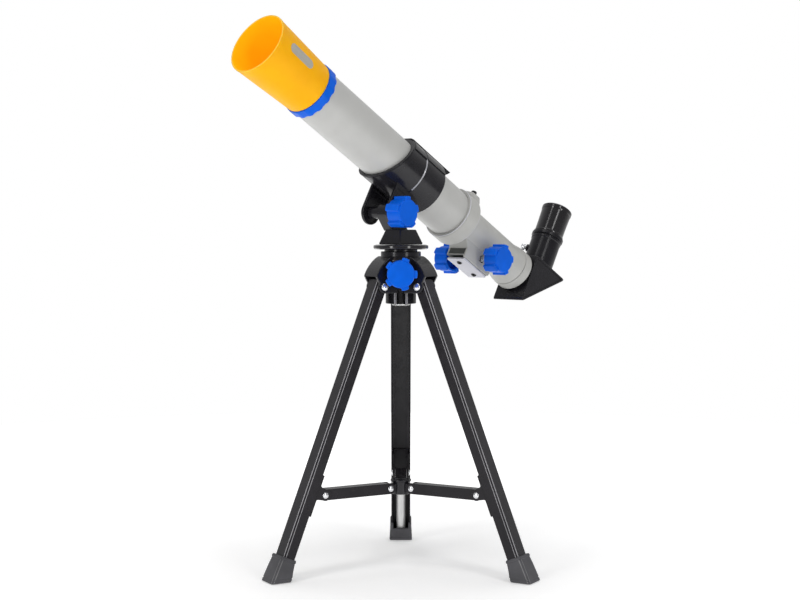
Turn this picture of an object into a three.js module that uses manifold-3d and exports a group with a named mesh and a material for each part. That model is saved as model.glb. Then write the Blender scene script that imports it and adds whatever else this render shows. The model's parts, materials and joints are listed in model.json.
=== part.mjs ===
// A small refracting telescope on a folding table tripod, in millimetres, +Z up.
// Everything is built round the tripod's upright axis, with its rear leg pointing along +Y. At the end the
// whole object is moved so that the origin is on the ground under the middle of its box.

import * as THREE from 'three';
import { mergeVertices } from 'three/addons/utils/BufferGeometryUtils.js';
import Module from 'manifold-3d';

const wasm = await Module();
wasm.setup();

const { degToRad } = THREE.MathUtils;

// ---- Driving dimensions ----------------------------------------------------------------------

const GAP = 0.3; // between pieces that touch
const ROUND = 32; // sides of a large round piece
const TUBE_ROUND = 36; // sides of the telescope's tube and what fits round it
const SMALL_ROUND = 12; // sides of a pin, a screw or a small hole

// Tripod
const LEG_NAMES = ['left', 'right', 'rear'];
const LEG_DIRECTIONS = [210, 330, 90].map(degToRad);
const LEG_PIVOT = { radius: 24, height: 262.6 };
const LEG_TILT = degToRad(21.4);
const LEG = { width: 19, outer: 7.4, inner: -3.6, wall: 1.3, top: 4.5, bottom: -272 };
const FOOT = { width: 22.8, outer: 11.4, inner: -7.2, top: -260, flare: 1.6, pocket: -275 };
const LEG_TUBE = { radius: 4.5, top: -222, bottom: -272.5 };
const LEG_PIN = { radius: 2.1, hole: 2.4, head: 3.4, reach: 12.8, dome: 1.4 };
const HUB = { bore: 6.2, core: 14.2, bottom: 246.4, shoulder: 290.6, collar: 18.6, neck: 15.3, top: 297.5 };
const CROWN = { width: 25, reach: 32.5, start: 17, lowEdge: 272, lug: 6 };
const CROWN_CURVE = 1.35; // 2 would be an ellipse and 1 a straight line
const LEG_SLOT = { width: 19.8, inner: 15, outer: 40 };
const HUB_WINDOW = { half: 7, top: 258 };

// Spreader, level at rest
const SPREADER = { height: 74.6, core: 8.2, flange: 9.8, low: -6.3, high: 7.4, tab: 7.8, tabEnd: 3.7 };
const ARM = { inner: 13.75, length: 69.4, width: 11.4, wall: 1.2, end: 5, webTop: 5.2 };
const ARM_PIN = { radius: 1.5, hole: 1.8, head: 2.8, reach: 5.9, dome: 1.1 };
const BRACKET = { half: 7.9, wall: 1, top: -180, bottom: -219, ear: 5 };

// Mount: turns on the hub, and carries the tilt axis
const MOUNT_TURN = degToRad(227); // the way the telescope points, seen from above
const TURNTABLE = { radius: 25.5, low: 297.8, top: 301, spindle: 5.9, bottom: 244.1 };
const CLIP = { inner: 6.2, outer: 8.4, low: 244.9, high: 246.1 };
const POST = { baseX: 31, baseY: 27, topX: 22, topY: 19, shoulder: 315, head: 9 };
const TILT_AXIS = { forward: 11, height: 330.7 };
const TELESCOPE_TILT = degToRad(30);
const KNOB = { radius: 15.2, drum: 12.6, lobeAngle: 0.27, thickness: 16, hub: 4.6 };
const KNOB_POCKET = { radius: 10.6, depth: 9 };
const KNOB_TURN = { azimuth: -1, altitude: -92, focus: 210 }; // where each knob's first lobe points
const BOLT = { radius: 2, hole: 2.3, head: 4.2, spacer: 5.6 };
const AZIMUTH_LOCK = { height: 274.8, back: -26, boss: 6.5, radius: 2.3, hole: 2.6 };

// Telescope: stations are measured along the tube, forward of the tilt axis
const TUBE_SIDE = -13.2; // the tube stands to one side of the tilt axis's middle
const TUBE_RISE = 47; // and above the tilt axis
const TUBE = { radius: 24, inner: 22.9, rear: -89, front: 134 };
const CRADLE = { inner: 24.35, radius: 27.4, rearRadius: 28.1, front: 32.5, step: -5.6, rear: -35.3 };
const CRADLE_SLANT = { middle: 21, slope: -0.42 }; // the ring's front edge leans back towards the top
const CHEEK = { inside: 14, outside: 17, round: 11.3, top: 26.4, flare: 5.7, flareLow: 3 };
const RAIL = { front: 6, rear: -55, half: 9, low: 22.6, top: 29.4 };
const DEW = { rear: 138.1, front: 206.2, rearRadius: 25, frontRadius: 29.1, lip: 0.3, wall: 1.3 };
const CELL = { rear: 128.4, step: 137.8, front: 150, radius: 26, spigot: 23.4 };
const CELL_BORE = { radius: 21.6, clear: 19.5, seat: 141 };
const REAR_CELL = { front: -79.7, seat: -90, rear: -98.9, radius: 26.8, bore: 19.5 };
const FINDER = { front: -84, rear: -109, half: 8, top: 31.7, screw: -103.5 };
const HOUSING = { front: -92, rear: -187.6, radius: 19.2, bore: 15.8 };
const BLOCK = { front: -110, rear: -152, half: 12, low: -32 };
const PINION = { station: -135, up: -21.5, shaft: 3, hole: 3.3, length: 10 };
const PINION_TEETH = { count: 8, pitch: 4, tip: 4.1, root: 3.3 };
const COVER = { front: -111.5, rear: -150, half: 11, low: -34.2, screws: [-119, -144] };
const DRAW = { front: -72, radius: 15.4, inner: 13.4 };
const DRAW_FLANGE = { front: -187.9, rear: -199, radius: 21.3, bore: 12.6 };
const RACK = { front: -80, rear: -186, half: 3, low: -17.2, root: -16.4, top: -15.7 };
const FOCUS_KNOB_BACK = 24.5;
const NOSE = { radius: 12.25, bore: 10.6, front: -184 };
const PRISM = { front: -202.5, top: 20.5, leg: 53, half: 19, wall: 2.5 };
const SOCKET = { station: -228.6, radius: 15.4, bore: 12.6, lip: 16.7, lipLow: 51.5, top: 57.3 };
const EYEPIECE = { low: 30, barrel: 12.25, shoulder: 57.6, waist: 15.1, radius: 16, top: 90, bore: 10.5 };
const THUMBSCREW = { up: 39, turn: degToRad(-60), radius: 1.5, hole: 1.8, boss: 17.2, head: 3.6 };

// ---- Solids ----------------------------------------------------------------------------------

/** Keeps only positions, shares equal vertices and drops triangles with no area. */
function cleaned(geometry) {
  const plain = geometry.clone();
  plain.deleteAttribute('normal');
  plain.deleteAttribute('uv');
  const merged = mergeVertices(plain, 1e-4);
  const index = merged.index.array;
  const kept = [];
  for (let i = 0; i < index.length; i += 3) {
    const [a, b, c] = [index[i], index[i + 1], index[i + 2]];
    if (a !== b && b !== c && c !== a) kept.push(a, b, c);
  }
  merged.setIndex(kept);
  if (signedVolume(merged) < 0) merged.setIndex(kept.reverse());
  return merged;
}

function signedVolume(geometry) {
  const position = geometry.attributes.position;
  const index = geometry.index.array;
  const [a, b, c] = [new THREE.Vector3(), new THREE.Vector3(), new THREE.Vector3()];
  let volume = 0;
  for (let i = 0; i < index.length; i += 3) {
    a.fromBufferAttribute(position, index[i]);
    b.fromBufferAttribute(position, index[i + 1]);
    c.fromBufferAttribute(position, index[i + 2]);
    volume += a.dot(b.cross(c)) / 6;
  }
  return volume;
}

function toSolid(geometry) {
  const closed = cleaned(geometry);
  const vertProperties = new Float32Array(closed.attributes.position.array);
  const triVerts = new Uint32Array(closed.index.array);
  return new wasm.Manifold(new wasm.Mesh({ numProp: 3, vertProperties, triVerts }));
}

function fromSolid(solid) {
  const { vertProperties, triVerts } = solid.getMesh();
  const geometry = new THREE.BufferGeometry();
  geometry.setAttribute('position', new THREE.BufferAttribute(vertProperties, 3));
  geometry.setIndex(new THREE.BufferAttribute(triVerts, 1));
  return geometry;
}

function joined(...geometries) {
  return fromSolid(geometries.map(toSolid).reduce((sum, next) => sum.add(next)));
}

function cut(geometry, ...tools) {
  return fromSolid(tools.map(toSolid).reduce((rest, tool) => rest.subtract(tool), toSolid(geometry)));
}

/** A solid of revolution about Z. The profile is [radius, z] points, on the axis at both ends or closed. */
function turned(profile, sides = ROUND) {
  const geometry = new THREE.LatheGeometry(profile.map(([r, z]) => new THREE.Vector2(r, z)), sides);
  return geometry.rotateX(Math.PI / 2);
}

/** A closed ring section, turned about Z. */
function turnedRing(profile, sides = ROUND) {
  return turned([...profile, profile[0]], sides);
}

/** A plain round bar along Z from low to high. */
function bar(radius, low, high, sides = SMALL_ROUND) {
  return turned([[0, low], [radius, low], [radius, high], [0, high]], sides);
}

/** An outline in the XZ plane, given thickness along Y from yLow to yHigh. */
function slab(outline, yLow, yHigh) {
  const shape = new THREE.Shape(outline.map(([x, z]) => new THREE.Vector2(x, z)));
  const geometry = new THREE.ExtrudeGeometry(shape, { depth: yHigh - yLow, bevelEnabled: false });
  return geometry.rotateX(Math.PI / 2).translate(0, yHigh, 0);
}

/** A box given by its lowest and highest corners. */
function box(low, high) {
  const size = high.map((value, axis) => value - low[axis]);
  const centre = high.map((value, axis) => (value + low[axis]) / 2);
  return new THREE.BoxGeometry(...size).translate(...centre);
}

/** Points on an arc about (x, z), from one angle to another in degrees. */
function arc(x, z, radius, from, to, steps = 8) {
  const points = [];
  for (let i = 0; i <= steps; i += 1) {
    const angle = degToRad(from + ((to - from) * i) / steps);
    points.push([x + radius * Math.cos(angle), z + radius * Math.sin(angle)]);
  }
  return points;
}

/** Turns a piece made about Z so that its axis lies along Y. */
function alongY(geometry) {
  return geometry.rotateX(-Math.PI / 2);
}

/** Turns a piece made about Z so that its axis lies along X, the tube's forward direction. */
function alongX(geometry) {
  return geometry.rotateY(Math.PI / 2);
}

function part(name, geometry, look) {
  const mesh = new THREE.Mesh(cleaned(geometry), new THREE.MeshStandardMaterial(look));
  mesh.geometry.computeVertexNormals();
  mesh.name = name;
  return mesh;
}

// ---- Materials -------------------------------------------------------------------------------

const LOOK = {
  orange: { color: 0xffb012, roughness: 0.42, metalness: 0 },
  blue: { color: 0x0f5fe1, roughness: 0.38, metalness: 0 },
  tube: { color: 0xbebebc, roughness: 0.32, metalness: 0.1 },
  grey: { color: 0xa9a7a0, roughness: 0.5, metalness: 0 },
  black: { color: 0x222126, roughness: 0.45, metalness: 0 },
  glossBlack: { color: 0x161618, roughness: 0.18, metalness: 0 },
  leg: { color: 0x242326, roughness: 0.38, metalness: 0.6 },
  rubber: { color: 0x3c3b3e, roughness: 0.8, metalness: 0 },
  steel: { color: 0xc9ccd0, roughness: 0.25, metalness: 1 },
  glass: { color: 0xe4eef2, roughness: 0.03, metalness: 0 },
  pale: { color: 0xd5d5dc, roughness: 0.55, metalness: 0 },
};

// ---- Knobs, pins and screws ------------------------------------------------------------------

/** The outline of a round drum with five square lobes, drawn inward by an inset. */
function knobOutline(inset) {
  const lobes = 5;
  const points = [];
  for (let i = 0; i < lobes; i += 1) {
    const middle = (i / lobes) * 2 * Math.PI;
    for (const side of [-1, 1]) {
      const angle = middle + side * KNOB.lobeAngle;
      const drum = KNOB.drum - inset;
      const lobe = KNOB.radius - inset;
      const root = [drum * Math.cos(angle), drum * Math.sin(angle)];
      const across = side * (drum * Math.sin(KNOB.lobeAngle) - inset * 0.5);
      const along = Math.sqrt(lobe ** 2 - across ** 2);
      const cos = Math.cos(middle);
      const sin = Math.sin(middle);
      const tip = [along * cos - across * sin, along * sin + across * cos];
      points.push(...(side < 0 ? [root, tip] : [tip, root]));
    }
    for (const step of [1, 2]) {
      const angle = middle + KNOB.lobeAngle + ((2 * Math.PI) / lobes - 2 * KNOB.lobeAngle) * (step / 3);
      points.push([(KNOB.drum - inset) * Math.cos(angle), (KNOB.drum - inset) * Math.sin(angle)]);
    }
  }
  return points;
}

/**
 * A five-lobed knob about Z, back at z = 0, with a hollow back round a bored hub.
 * Its first lobe points firstLobe degrees from +X.
 */
function lobedKnob(bore, boreDepth, firstLobe) {
  const edge = 1;
  const outline = new THREE.Shape(knobOutline(edge).map(([x, y]) => new THREE.Vector2(x, y)));
  const blank = new THREE.ExtrudeGeometry(outline, {
    depth: KNOB.thickness - 2 * edge,
    bevelThickness: edge,
    bevelSize: edge,
    bevelSegments: 1,
  }).translate(0, 0, edge);
  const pocket = turnedRing([
    [KNOB.hub, -1],
    [KNOB_POCKET.radius, -1],
    [KNOB_POCKET.radius, KNOB_POCKET.depth],
    [KNOB.hub, KNOB_POCKET.depth],
  ], 20);
  return cut(blank, pocket, bar(bore, -1, boreDepth)).rotateZ(degToRad(firstLobe));
}

/** A pin along Y through both sides of a joint, with a domed head at each end. */
function domedPin({ radius, head, reach, dome }) {
  const half = [
    [radius, 0],
    [radius, reach],
    [head, reach],
    [head * 0.8, reach + dome * 0.7],
    [0, reach + dome],
  ];
  const mirrored = half.slice(1).reverse().map(([r, z]) => [r, -z]);
  return alongY(turned([...mirrored, ...half.slice(1)], SMALL_ROUND));
}

// ---- Tripod hub ------------------------------------------------------------------------------

function hubCore() {
  return turnedRing([
    [HUB.bore, HUB.bottom],
    [HUB.core, HUB.bottom],
    [HUB.core, CROWN.lowEdge],
    [HUB.collar + 2, HUB.shoulder - 4],
    [HUB.collar, HUB.shoulder],
    [HUB.collar, HUB.shoulder + 4.2],
    [HUB.neck, HUB.shoulder + 4.2],
    [HUB.neck, HUB.top],
    [HUB.bore, HUB.top],
  ]);
}

/** One arm of the crown with the two lugs that hold a leg, pointing along +X. */
function crownArm() {
  const rise = HUB.shoulder - 0.2 - CROWN.lowEdge;
  const brow = [];
  const browSteps = 8;
  const power = 2 / CROWN_CURVE;
  for (let i = 0; i <= browSteps; i += 1) {
    const angle = degToRad(90 - (90 * i) / browSteps);
    const x = CROWN.start + (CROWN.reach - CROWN.start) * Math.abs(Math.cos(angle)) ** power;
    brow.push([x, CROWN.lowEdge + rise * Math.sin(angle) ** power]);
  }
  const outline = [
    [HUB.core - 4, CROWN.lowEdge + rise],
    ...brow,
    ...arc(LEG_PIVOT.radius, LEG_PIVOT.height, CROWN.lug, 30, -90, 6),
    [HUB.core - 4, LEG_PIVOT.height - CROWN.lug],
  ];
  return slab(outline, -CROWN.width / 2, CROWN.width / 2);
}

function legSlot() {
  const half = LEG_SLOT.width / 2;
  return box([LEG_SLOT.inner, -half, HUB.bottom - 10], [LEG_SLOT.outer, half, CROWN.lowEdge]);
}

function tripodHub() {
  const lockBoss = alongY(bar(AZIMUTH_LOCK.boss, AZIMUTH_LOCK.back + GAP, -HUB.core + 1.5, 24));
  const lockHole = alongY(bar(AZIMUTH_LOCK.hole, AZIMUTH_LOCK.back - 2, -HUB.bore + 1));
  const arms = [];
  const tools = [lockHole.translate(0, 0, AZIMUTH_LOCK.height)];
  for (const direction of LEG_DIRECTIONS) {
    arms.push(crownArm().rotateZ(direction));
    tools.push(legSlot().rotateZ(direction));
    const reach = CROWN.width;
    const hole = alongY(bar(LEG_PIN.hole, -reach, reach));
    tools.push(hole.translate(LEG_PIVOT.radius, 0, LEG_PIVOT.height).rotateZ(direction));
  }
  tools.push(bar(HUB.bore, HUB.bottom - 5, HUB.top + 5, ROUND));
  tools.push(box([-HUB_WINDOW.half, -HUB.core - 5, HUB.bottom - 5], [HUB_WINDOW.half, 0, HUB_WINDOW.top]));
  const blank = joined(hubCore(), ...arms, lockBoss.translate(0, 0, AZIMUTH_LOCK.height));
  return cut(blank, ...tools);
}

function azimuthLock() {
  const group = new THREE.Group();
  const screw = alongY(bar(AZIMUTH_LOCK.radius, AZIMUTH_LOCK.back - 12, -TURNTABLE.spindle - GAP));
  group.add(part('azimuth_lock_screw', screw, LOOK.steel));
  const knob = part('azimuth_lock_knob', lobedKnob(AZIMUTH_LOCK.hole, 13, KNOB_TURN.azimuth), LOOK.blue);
  knob.rotation.set(Math.PI / 2, 0, 0);
  knob.position.y = AZIMUTH_LOCK.back;
  group.add(knob);
  group.position.z = AZIMUTH_LOCK.height;
  return group;
}

// ---- Legs ------------------------------------------------------------------------------------
// Each leg is built about its pivot: X outward, Z up along the leg.

/** Height on the leg's own Z where a line at x across the leg meets the ground. */
function groundAt(x) {
  return (-LEG_PIVOT.height - x * Math.sin(LEG_TILT)) / Math.cos(LEG_TILT);
}

function legChannel() {
  const half = LEG.width / 2;
  const chamfer = 0.8;
  const shape = new THREE.Shape();
  shape.moveTo(LEG.inner, -half);
  shape.lineTo(LEG.outer - chamfer, -half);
  shape.lineTo(LEG.outer, -half + chamfer);
  shape.lineTo(LEG.outer, half - chamfer);
  shape.lineTo(LEG.outer - chamfer, half);
  shape.lineTo(LEG.inner, half);
  shape.lineTo(LEG.inner, half - LEG.wall);
  shape.lineTo(LEG.outer - LEG.wall, half - LEG.wall);
  shape.lineTo(LEG.outer - LEG.wall, -half + LEG.wall);
  shape.lineTo(LEG.inner, -half + LEG.wall);
  shape.closePath();
  const channel = new THREE.ExtrudeGeometry(shape, { depth: LEG.top - LEG.bottom, bevelEnabled: false });
  return cut(channel.translate(0, 0, LEG.bottom), alongY(bar(LEG_PIN.hole, -LEG.width, LEG.width)));
}

function legFoot() {
  const half = FOOT.width / 2;
  const outline = [
    [FOOT.outer - FOOT.flare, FOOT.top],
    [FOOT.inner + FOOT.flare, FOOT.top],
    [FOOT.inner, groundAt(FOOT.inner)],
    [FOOT.outer, groundAt(FOOT.outer)],
  ];
  const side = LEG.width / 2 + GAP;
  const pocket = box([LEG.inner - GAP, -side, FOOT.pocket], [LEG.outer + GAP, side, FOOT.top + 5]);
  return cut(slab(outline, -half, half), pocket);
}

/** A folded plate inside the channel. Its two ears stand inward of the leg and hold the arm's end. */
function legBracket() {
  const pivot = bracketPivot();
  const back = LEG.outer - LEG.wall - GAP;
  const cheek = [
    [back, BRACKET.top],
    [LEG.inner - 2.5, BRACKET.top],
    ...arc(pivot.x, pivot.z, BRACKET.ear, 100, 260),
    [LEG.inner - 2.5, BRACKET.bottom],
    [back, BRACKET.bottom],
  ];
  const { half, wall } = BRACKET;
  const pieces = [
    slab(cheek, -half, -half + wall),
    slab(cheek, half - wall, half),
    box([back - wall, -half, BRACKET.bottom], [back, half, BRACKET.top]),
  ];
  for (const side of [-1, 1]) {
    const rivet = turned([[0, -wall / 2], [2.8, -wall / 2], [2.8, 0.3], [2.1, 1.1], [0, 1.4]], SMALL_ROUND);
    pieces.push(rivet.rotateX((-side * Math.PI) / 2).translate(pivot.x, side * half, pivot.z));
  }
  return joined(...pieces);
}

/** Where the arm's end pivots, in the leg's frame. */
function bracketPivot() {
  const across = ARM.inner + ARM.length - LEG_PIVOT.radius;
  const down = SPREADER.height - LEG_PIVOT.height;
  return {
    x: across * Math.cos(LEG_TILT) + down * Math.sin(LEG_TILT),
    z: down * Math.cos(LEG_TILT) - across * Math.sin(LEG_TILT),
  };
}

function leg(name, direction) {
  const frame = new THREE.Group();
  const tube = { middle: LEG.outer - LEG.wall - GAP - LEG_TUBE.radius, wall: 0.8 };
  const tubeRing = turnedRing([
    [LEG_TUBE.radius - tube.wall, LEG_TUBE.bottom],
    [LEG_TUBE.radius, LEG_TUBE.bottom],
    [LEG_TUBE.radius, LEG_TUBE.top],
    [LEG_TUBE.radius - tube.wall, LEG_TUBE.top],
  ], 20);
  frame.add(part(`leg_${name}_channel`, legChannel(), LOOK.leg));
  frame.add(part(`leg_${name}_tube`, tubeRing.translate(tube.middle, 0, 0), LOOK.steel));
  frame.add(part(`leg_${name}_foot`, legFoot(), LOOK.rubber));
  frame.add(part(`leg_${name}_bracket`, legBracket(), LOOK.leg));
  frame.rotation.y = -LEG_TILT;
  const pinned = new THREE.Group();
  pinned.add(frame, part(`leg_${name}_pin`, domedPin(LEG_PIN), LOOK.steel));
  pinned.position.set(LEG_PIVOT.radius, 0, LEG_PIVOT.height);
  const turnedLeg = new THREE.Group();
  turnedLeg.add(pinned);
  turnedLeg.rotation.z = direction;
  return turnedLeg;
}

// ---- Spreader --------------------------------------------------------------------------------

function spreaderHub() {
  const core = turned([
    [0, SPREADER.low],
    [SPREADER.core - 1, SPREADER.low],
    [SPREADER.core, SPREADER.low + 1],
    [SPREADER.core, SPREADER.high - 1.8],
    [SPREADER.flange, SPREADER.high - 1.8],
    [SPREADER.flange, SPREADER.high - 0.6],
    [SPREADER.flange - 0.8, SPREADER.high],
    [0, SPREADER.high],
  ], 32);
  const tabs = LEG_DIRECTIONS.map((direction) => {
    const end = SPREADER.tabEnd;
    const outline = [[2, end], ...arc(ARM.inner, 0, end, 90, -90), [2, -end]];
    return slab(outline, -SPREADER.tab / 2, SPREADER.tab / 2).rotateZ(direction);
  });
  const holes = LEG_DIRECTIONS.map((direction) => {
    const hole = alongY(bar(ARM_PIN.hole, -ARM.width / 2, ARM.width / 2));
    return hole.translate(ARM.inner, 0, 0).rotateZ(direction);
  });
  return cut(joined(core, ...tabs), ...holes);
}

/** An arm along +X from its inner pivot: a channel that is open below. */
function spreaderArm() {
  const half = ARM.width / 2;
  const outline = [...arc(ARM.length, 0, ARM.end, -90, 90), ...arc(0, 0, ARM.end, 90, 270)];
  const web = box([2.5, -half, ARM.webTop - ARM.wall], [ARM.length - 2.5, half, ARM.webTop]);
  const walls = [slab(outline, -half, -half + ARM.wall), slab(outline, half - ARM.wall, half)];
  const holes = [0, ARM.length].map((x) => alongY(bar(ARM_PIN.hole, -half - 1, half + 1)).translate(x, 0, 0));
  return cut(joined(web, ...walls), ...holes);
}

function spreader() {
  const group = new THREE.Group();
  group.add(part('spreader_hub', spreaderHub(), LOOK.black));
  LEG_DIRECTIONS.forEach((direction, i) => {
    const frame = new THREE.Group();
    frame.rotation.z = direction;
    const arm = part(`spreader_arm_${LEG_NAMES[i]}`, spreaderArm(), LOOK.leg);
    const pin = part(`spreader_pin_${LEG_NAMES[i]}`, domedPin(ARM_PIN), LOOK.steel);
    arm.position.x = ARM.inner;
    pin.position.x = ARM.inner;
    frame.add(arm, pin);
    group.add(frame);
  });
  group.position.z = SPREADER.height;
  return group;
}

// ---- Mount -----------------------------------------------------------------------------------
// In the mount's frame X is the way the telescope points and Y the tilt axis, towards its knob.

function turntable() {
  return turned([
    [0, TURNTABLE.bottom],
    [TURNTABLE.spindle - 0.6, TURNTABLE.bottom],
    [TURNTABLE.spindle, TURNTABLE.bottom + 0.6],
    [TURNTABLE.spindle, TURNTABLE.low],
    [TURNTABLE.radius - 0.5, TURNTABLE.low],
    [TURNTABLE.radius, TURNTABLE.low + 0.5],
    [TURNTABLE.radius, TURNTABLE.top - 0.5],
    [TURNTABLE.radius - 0.5, TURNTABLE.top],
    [0, TURNTABLE.top],
  ]);
}

function spindleClip() {
  return turnedRing([
    [CLIP.inner, CLIP.low],
    [CLIP.outer, CLIP.low],
    [CLIP.outer, CLIP.high],
    [CLIP.inner, CLIP.high],
  ], 24);
}

/** A block with a rectangular foot and a smaller rectangular top. */
function taperedBlock(baseX, baseY, topX, topY, low, high) {
  const geometry = box([-baseX / 2, -baseY / 2, low], [baseX / 2, baseY / 2, high]);
  const position = geometry.attributes.position;
  for (let i = 0; i < position.count; i += 1) {
    if (position.getZ(i) > (low + high) / 2) {
      position.setX(i, (position.getX(i) * topX) / baseX);
      position.setY(i, (position.getY(i) * topY) / baseY);
    }
  }
  return geometry;
}

function mountPost() {
  const { forward, height } = TILT_AXIS;
  const low = TURNTABLE.top + GAP;
  const foot = taperedBlock(POST.baseX, POST.baseY, POST.topX, POST.topY, low, POST.shoulder);
  const outline = [
    [-POST.topX / 2 + 1, POST.shoulder - 1],
    ...arc(forward, height, POST.head, -30, 140, 12).reverse(),
    [forward - 1, POST.shoulder - 1],
  ];
  const inside = TUBE_SIDE + CHEEK.inside - GAP;
  const upright = slab(outline, -POST.topY / 2 - 2.8, inside - 0.2);
  const hole = alongY(bar(BOLT.hole, -30, 30)).translate(forward, 0, height);
  return cut(joined(foot, upright), hole);
}

function altitudeSpacer() {
  const ends = [TUBE_SIDE - CHEEK.inside + GAP, -POST.topY / 2 - 2.8 - GAP];
  return alongY(turnedRing([
    [BOLT.hole, ends[0]],
    [BOLT.spacer, ends[0]],
    [BOLT.spacer, ends[1]],
    [BOLT.hole, ends[1]],
  ], 20));
}

function altitudeBolt() {
  const headInner = TUBE_SIDE - CHEEK.outside - GAP;
  const profile = [
    [0, headInner - 2.8],
    [BOLT.head - 0.6, headInner - 2.8],
    [BOLT.head, headInner - 2.2],
    [BOLT.head, headInner],
    [BOLT.radius, headInner],
    [BOLT.radius, 15],
    [0, 15],
  ];
  return alongY(turned(profile, SMALL_ROUND));
}

function mount() {
  const group = new THREE.Group();
  group.add(part('turntable', turntable(), LOOK.glossBlack));
  group.add(part('spindle_clip', spindleClip(), LOOK.steel));
  group.add(part('mount_post', mountPost(), LOOK.black));
  const axis = new THREE.Group();
  axis.position.set(TILT_AXIS.forward, 0, TILT_AXIS.height);
  axis.add(part('altitude_spacer', altitudeSpacer(), LOOK.black));
  axis.add(part('altitude_bolt', altitudeBolt(), LOOK.steel));
  const knob = part('altitude_knob', lobedKnob(BOLT.hole, 12, KNOB_TURN.altitude), LOOK.blue);
  knob.rotation.x = -Math.PI / 2;
  knob.position.y = TUBE_SIDE + CHEEK.outside + GAP;
  axis.add(knob);
  const telescopeFrame = new THREE.Group();
  telescopeFrame.rotation.y = -TELESCOPE_TILT;
  telescopeFrame.add(telescope());
  axis.add(telescopeFrame);
  group.add(axis);
  group.rotation.z = MOUNT_TURN;
  return group;
}

// ---- Telescope -------------------------------------------------------------------------------
// In the telescope's frame X is forward along the tube's axis, Y level and Z up.

function ringX(inner, outer, rear, front, sides = ROUND) {
  return alongX(turnedRing([[inner, rear], [outer, rear], [outer, front], [inner, front]], sides));
}

function barX(radius, rear, front, sides = ROUND) {
  return alongX(bar(radius, rear, front, sides));
}

function dewShield() {
  return alongX(turnedRing([
    [DEW.rearRadius - DEW.wall, DEW.rear],
    [DEW.rearRadius, DEW.rear],
    [DEW.frontRadius - DEW.lip, DEW.front - 2.4],
    [DEW.frontRadius, DEW.front - 2],
    [DEW.frontRadius, DEW.front],
    [DEW.frontRadius - DEW.wall, DEW.front],
  ], TUBE_ROUND));
}

function lensCell() {
  return alongX(turnedRing([
    [TUBE.radius + GAP, CELL.rear],
    [CELL.radius, CELL.rear],
    [CELL.radius, CELL.step],
    [CELL.spigot, CELL.step],
    [CELL.spigot, CELL.front],
    [CELL_BORE.radius, CELL.front],
    [CELL_BORE.radius, CELL_BORE.seat],
    [CELL_BORE.clear, CELL_BORE.seat],
    [CELL_BORE.clear, TUBE.front + GAP],
    [TUBE.radius + GAP, TUBE.front + GAP],
  ], TUBE_ROUND));
}

/** A lens about the tube's axis. rearBulge and frontBulge are how far its middle stands past its rim. */
function lens(radius, rear, front, rearBulge, frontBulge) {
  const rings = 2;
  const profile = [];
  for (let i = 0; i <= rings; i += 1) {
    const r = (radius * i) / rings;
    profile.push([r, rear - rearBulge * (1 - (i / rings) ** 2)]);
  }
  for (let i = rings; i >= 0; i -= 1) {
    const r = (radius * i) / rings;
    profile.push([r, front + frontBulge * (1 - (i / rings) ** 2)]);
  }
  return turned(profile, 18);
}

function objective() {
  const radius = CELL_BORE.radius - GAP;
  const group = new THREE.Group();
  const flint = lens(radius, CELL_BORE.seat + GAP, CELL_BORE.seat + 3.6, -0.3, -1.2);
  const crown = lens(radius, CELL_BORE.seat + 3.9, CELL_BORE.seat + 6.4, 1.0, 1.2);
  group.add(part('objective_rear_lens', alongX(flint), LOOK.glass));
  group.add(part('objective_front_lens', alongX(crown), LOOK.glass));
  const ring = ringX(CELL_BORE.clear, radius, CELL_BORE.seat + 6.7, CELL.front - 0.5);
  group.add(part('lens_retaining_ring', ring, LOOK.black));
  return group;
}

/** The ring round the tube, its two cheeks below and the rail on top, as one moulding. */
function cradle() {
  const ring = alongX(turnedRing([
    [CRADLE.inner, CRADLE.rear],
    [CRADLE.rearRadius, CRADLE.rear],
    [CRADLE.rearRadius, CRADLE.step],
    [CRADLE.radius, CRADLE.step],
    [CRADLE.radius, CRADLE.front],
    [CRADLE.inner, CRADLE.front],
  ], TUBE_ROUND));
  const rail = box([RAIL.rear, -RAIL.half, RAIL.low], [RAIL.front, RAIL.half, RAIL.top]);
  const top = CHEEK.top - TUBE_RISE;
  const outline = [
    [CHEEK.round, top],
    ...arc(0, -TUBE_RISE, CHEEK.round, 0, -180, 12),
    [-CHEEK.round, CHEEK.flareLow - TUBE_RISE],
    [-CHEEK.round - CHEEK.flare, top],
  ];
  const cheeks = [
    slab(outline, -CHEEK.outside, -CHEEK.inside),
    slab(outline, CHEEK.inside, CHEEK.outside),
  ];
  const bore = barX(CRADLE.inner, RAIL.rear - 5, CRADLE.front + 5, TUBE_ROUND);
  const boltHole = alongY(bar(BOLT.hole, -20, 20)).translate(0, 0, -TUBE_RISE);
  const clear = CRADLE.radius + 5;
  const slant = slab([
    [CRADLE_SLANT.middle - CRADLE_SLANT.slope * clear, -clear],
    [2 * clear, -clear],
    [2 * clear, clear],
    [CRADLE_SLANT.middle + CRADLE_SLANT.slope * clear, clear],
  ], -clear, clear);
  return cut(joined(ring, rail, ...cheeks), bore, boltHole, slant);
}

function rearCell() {
  return alongX(turnedRing([
    [REAR_CELL.bore, REAR_CELL.rear],
    [REAR_CELL.radius - 1.5, REAR_CELL.rear],
    [REAR_CELL.radius, REAR_CELL.rear + 1.5],
    [REAR_CELL.radius, REAR_CELL.front],
    [TUBE.radius + GAP, REAR_CELL.front],
    [TUBE.radius + GAP, REAR_CELL.seat],
    [REAR_CELL.bore, REAR_CELL.seat],
  ], TUBE_ROUND));
}

function finderBase() {
  const block = box([FINDER.rear, -FINDER.half, HOUSING.radius + 3], [FINDER.front, FINDER.half, FINDER.top]);
  const cell = barX(REAR_CELL.radius + GAP, REAR_CELL.rear - GAP, FINDER.front + 5, TUBE_ROUND);
  const hole = bar(1.6, HOUSING.radius, FINDER.top + 5).translate(FINDER.screw, 0, 0);
  return cut(block, cell, hole);
}

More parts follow.
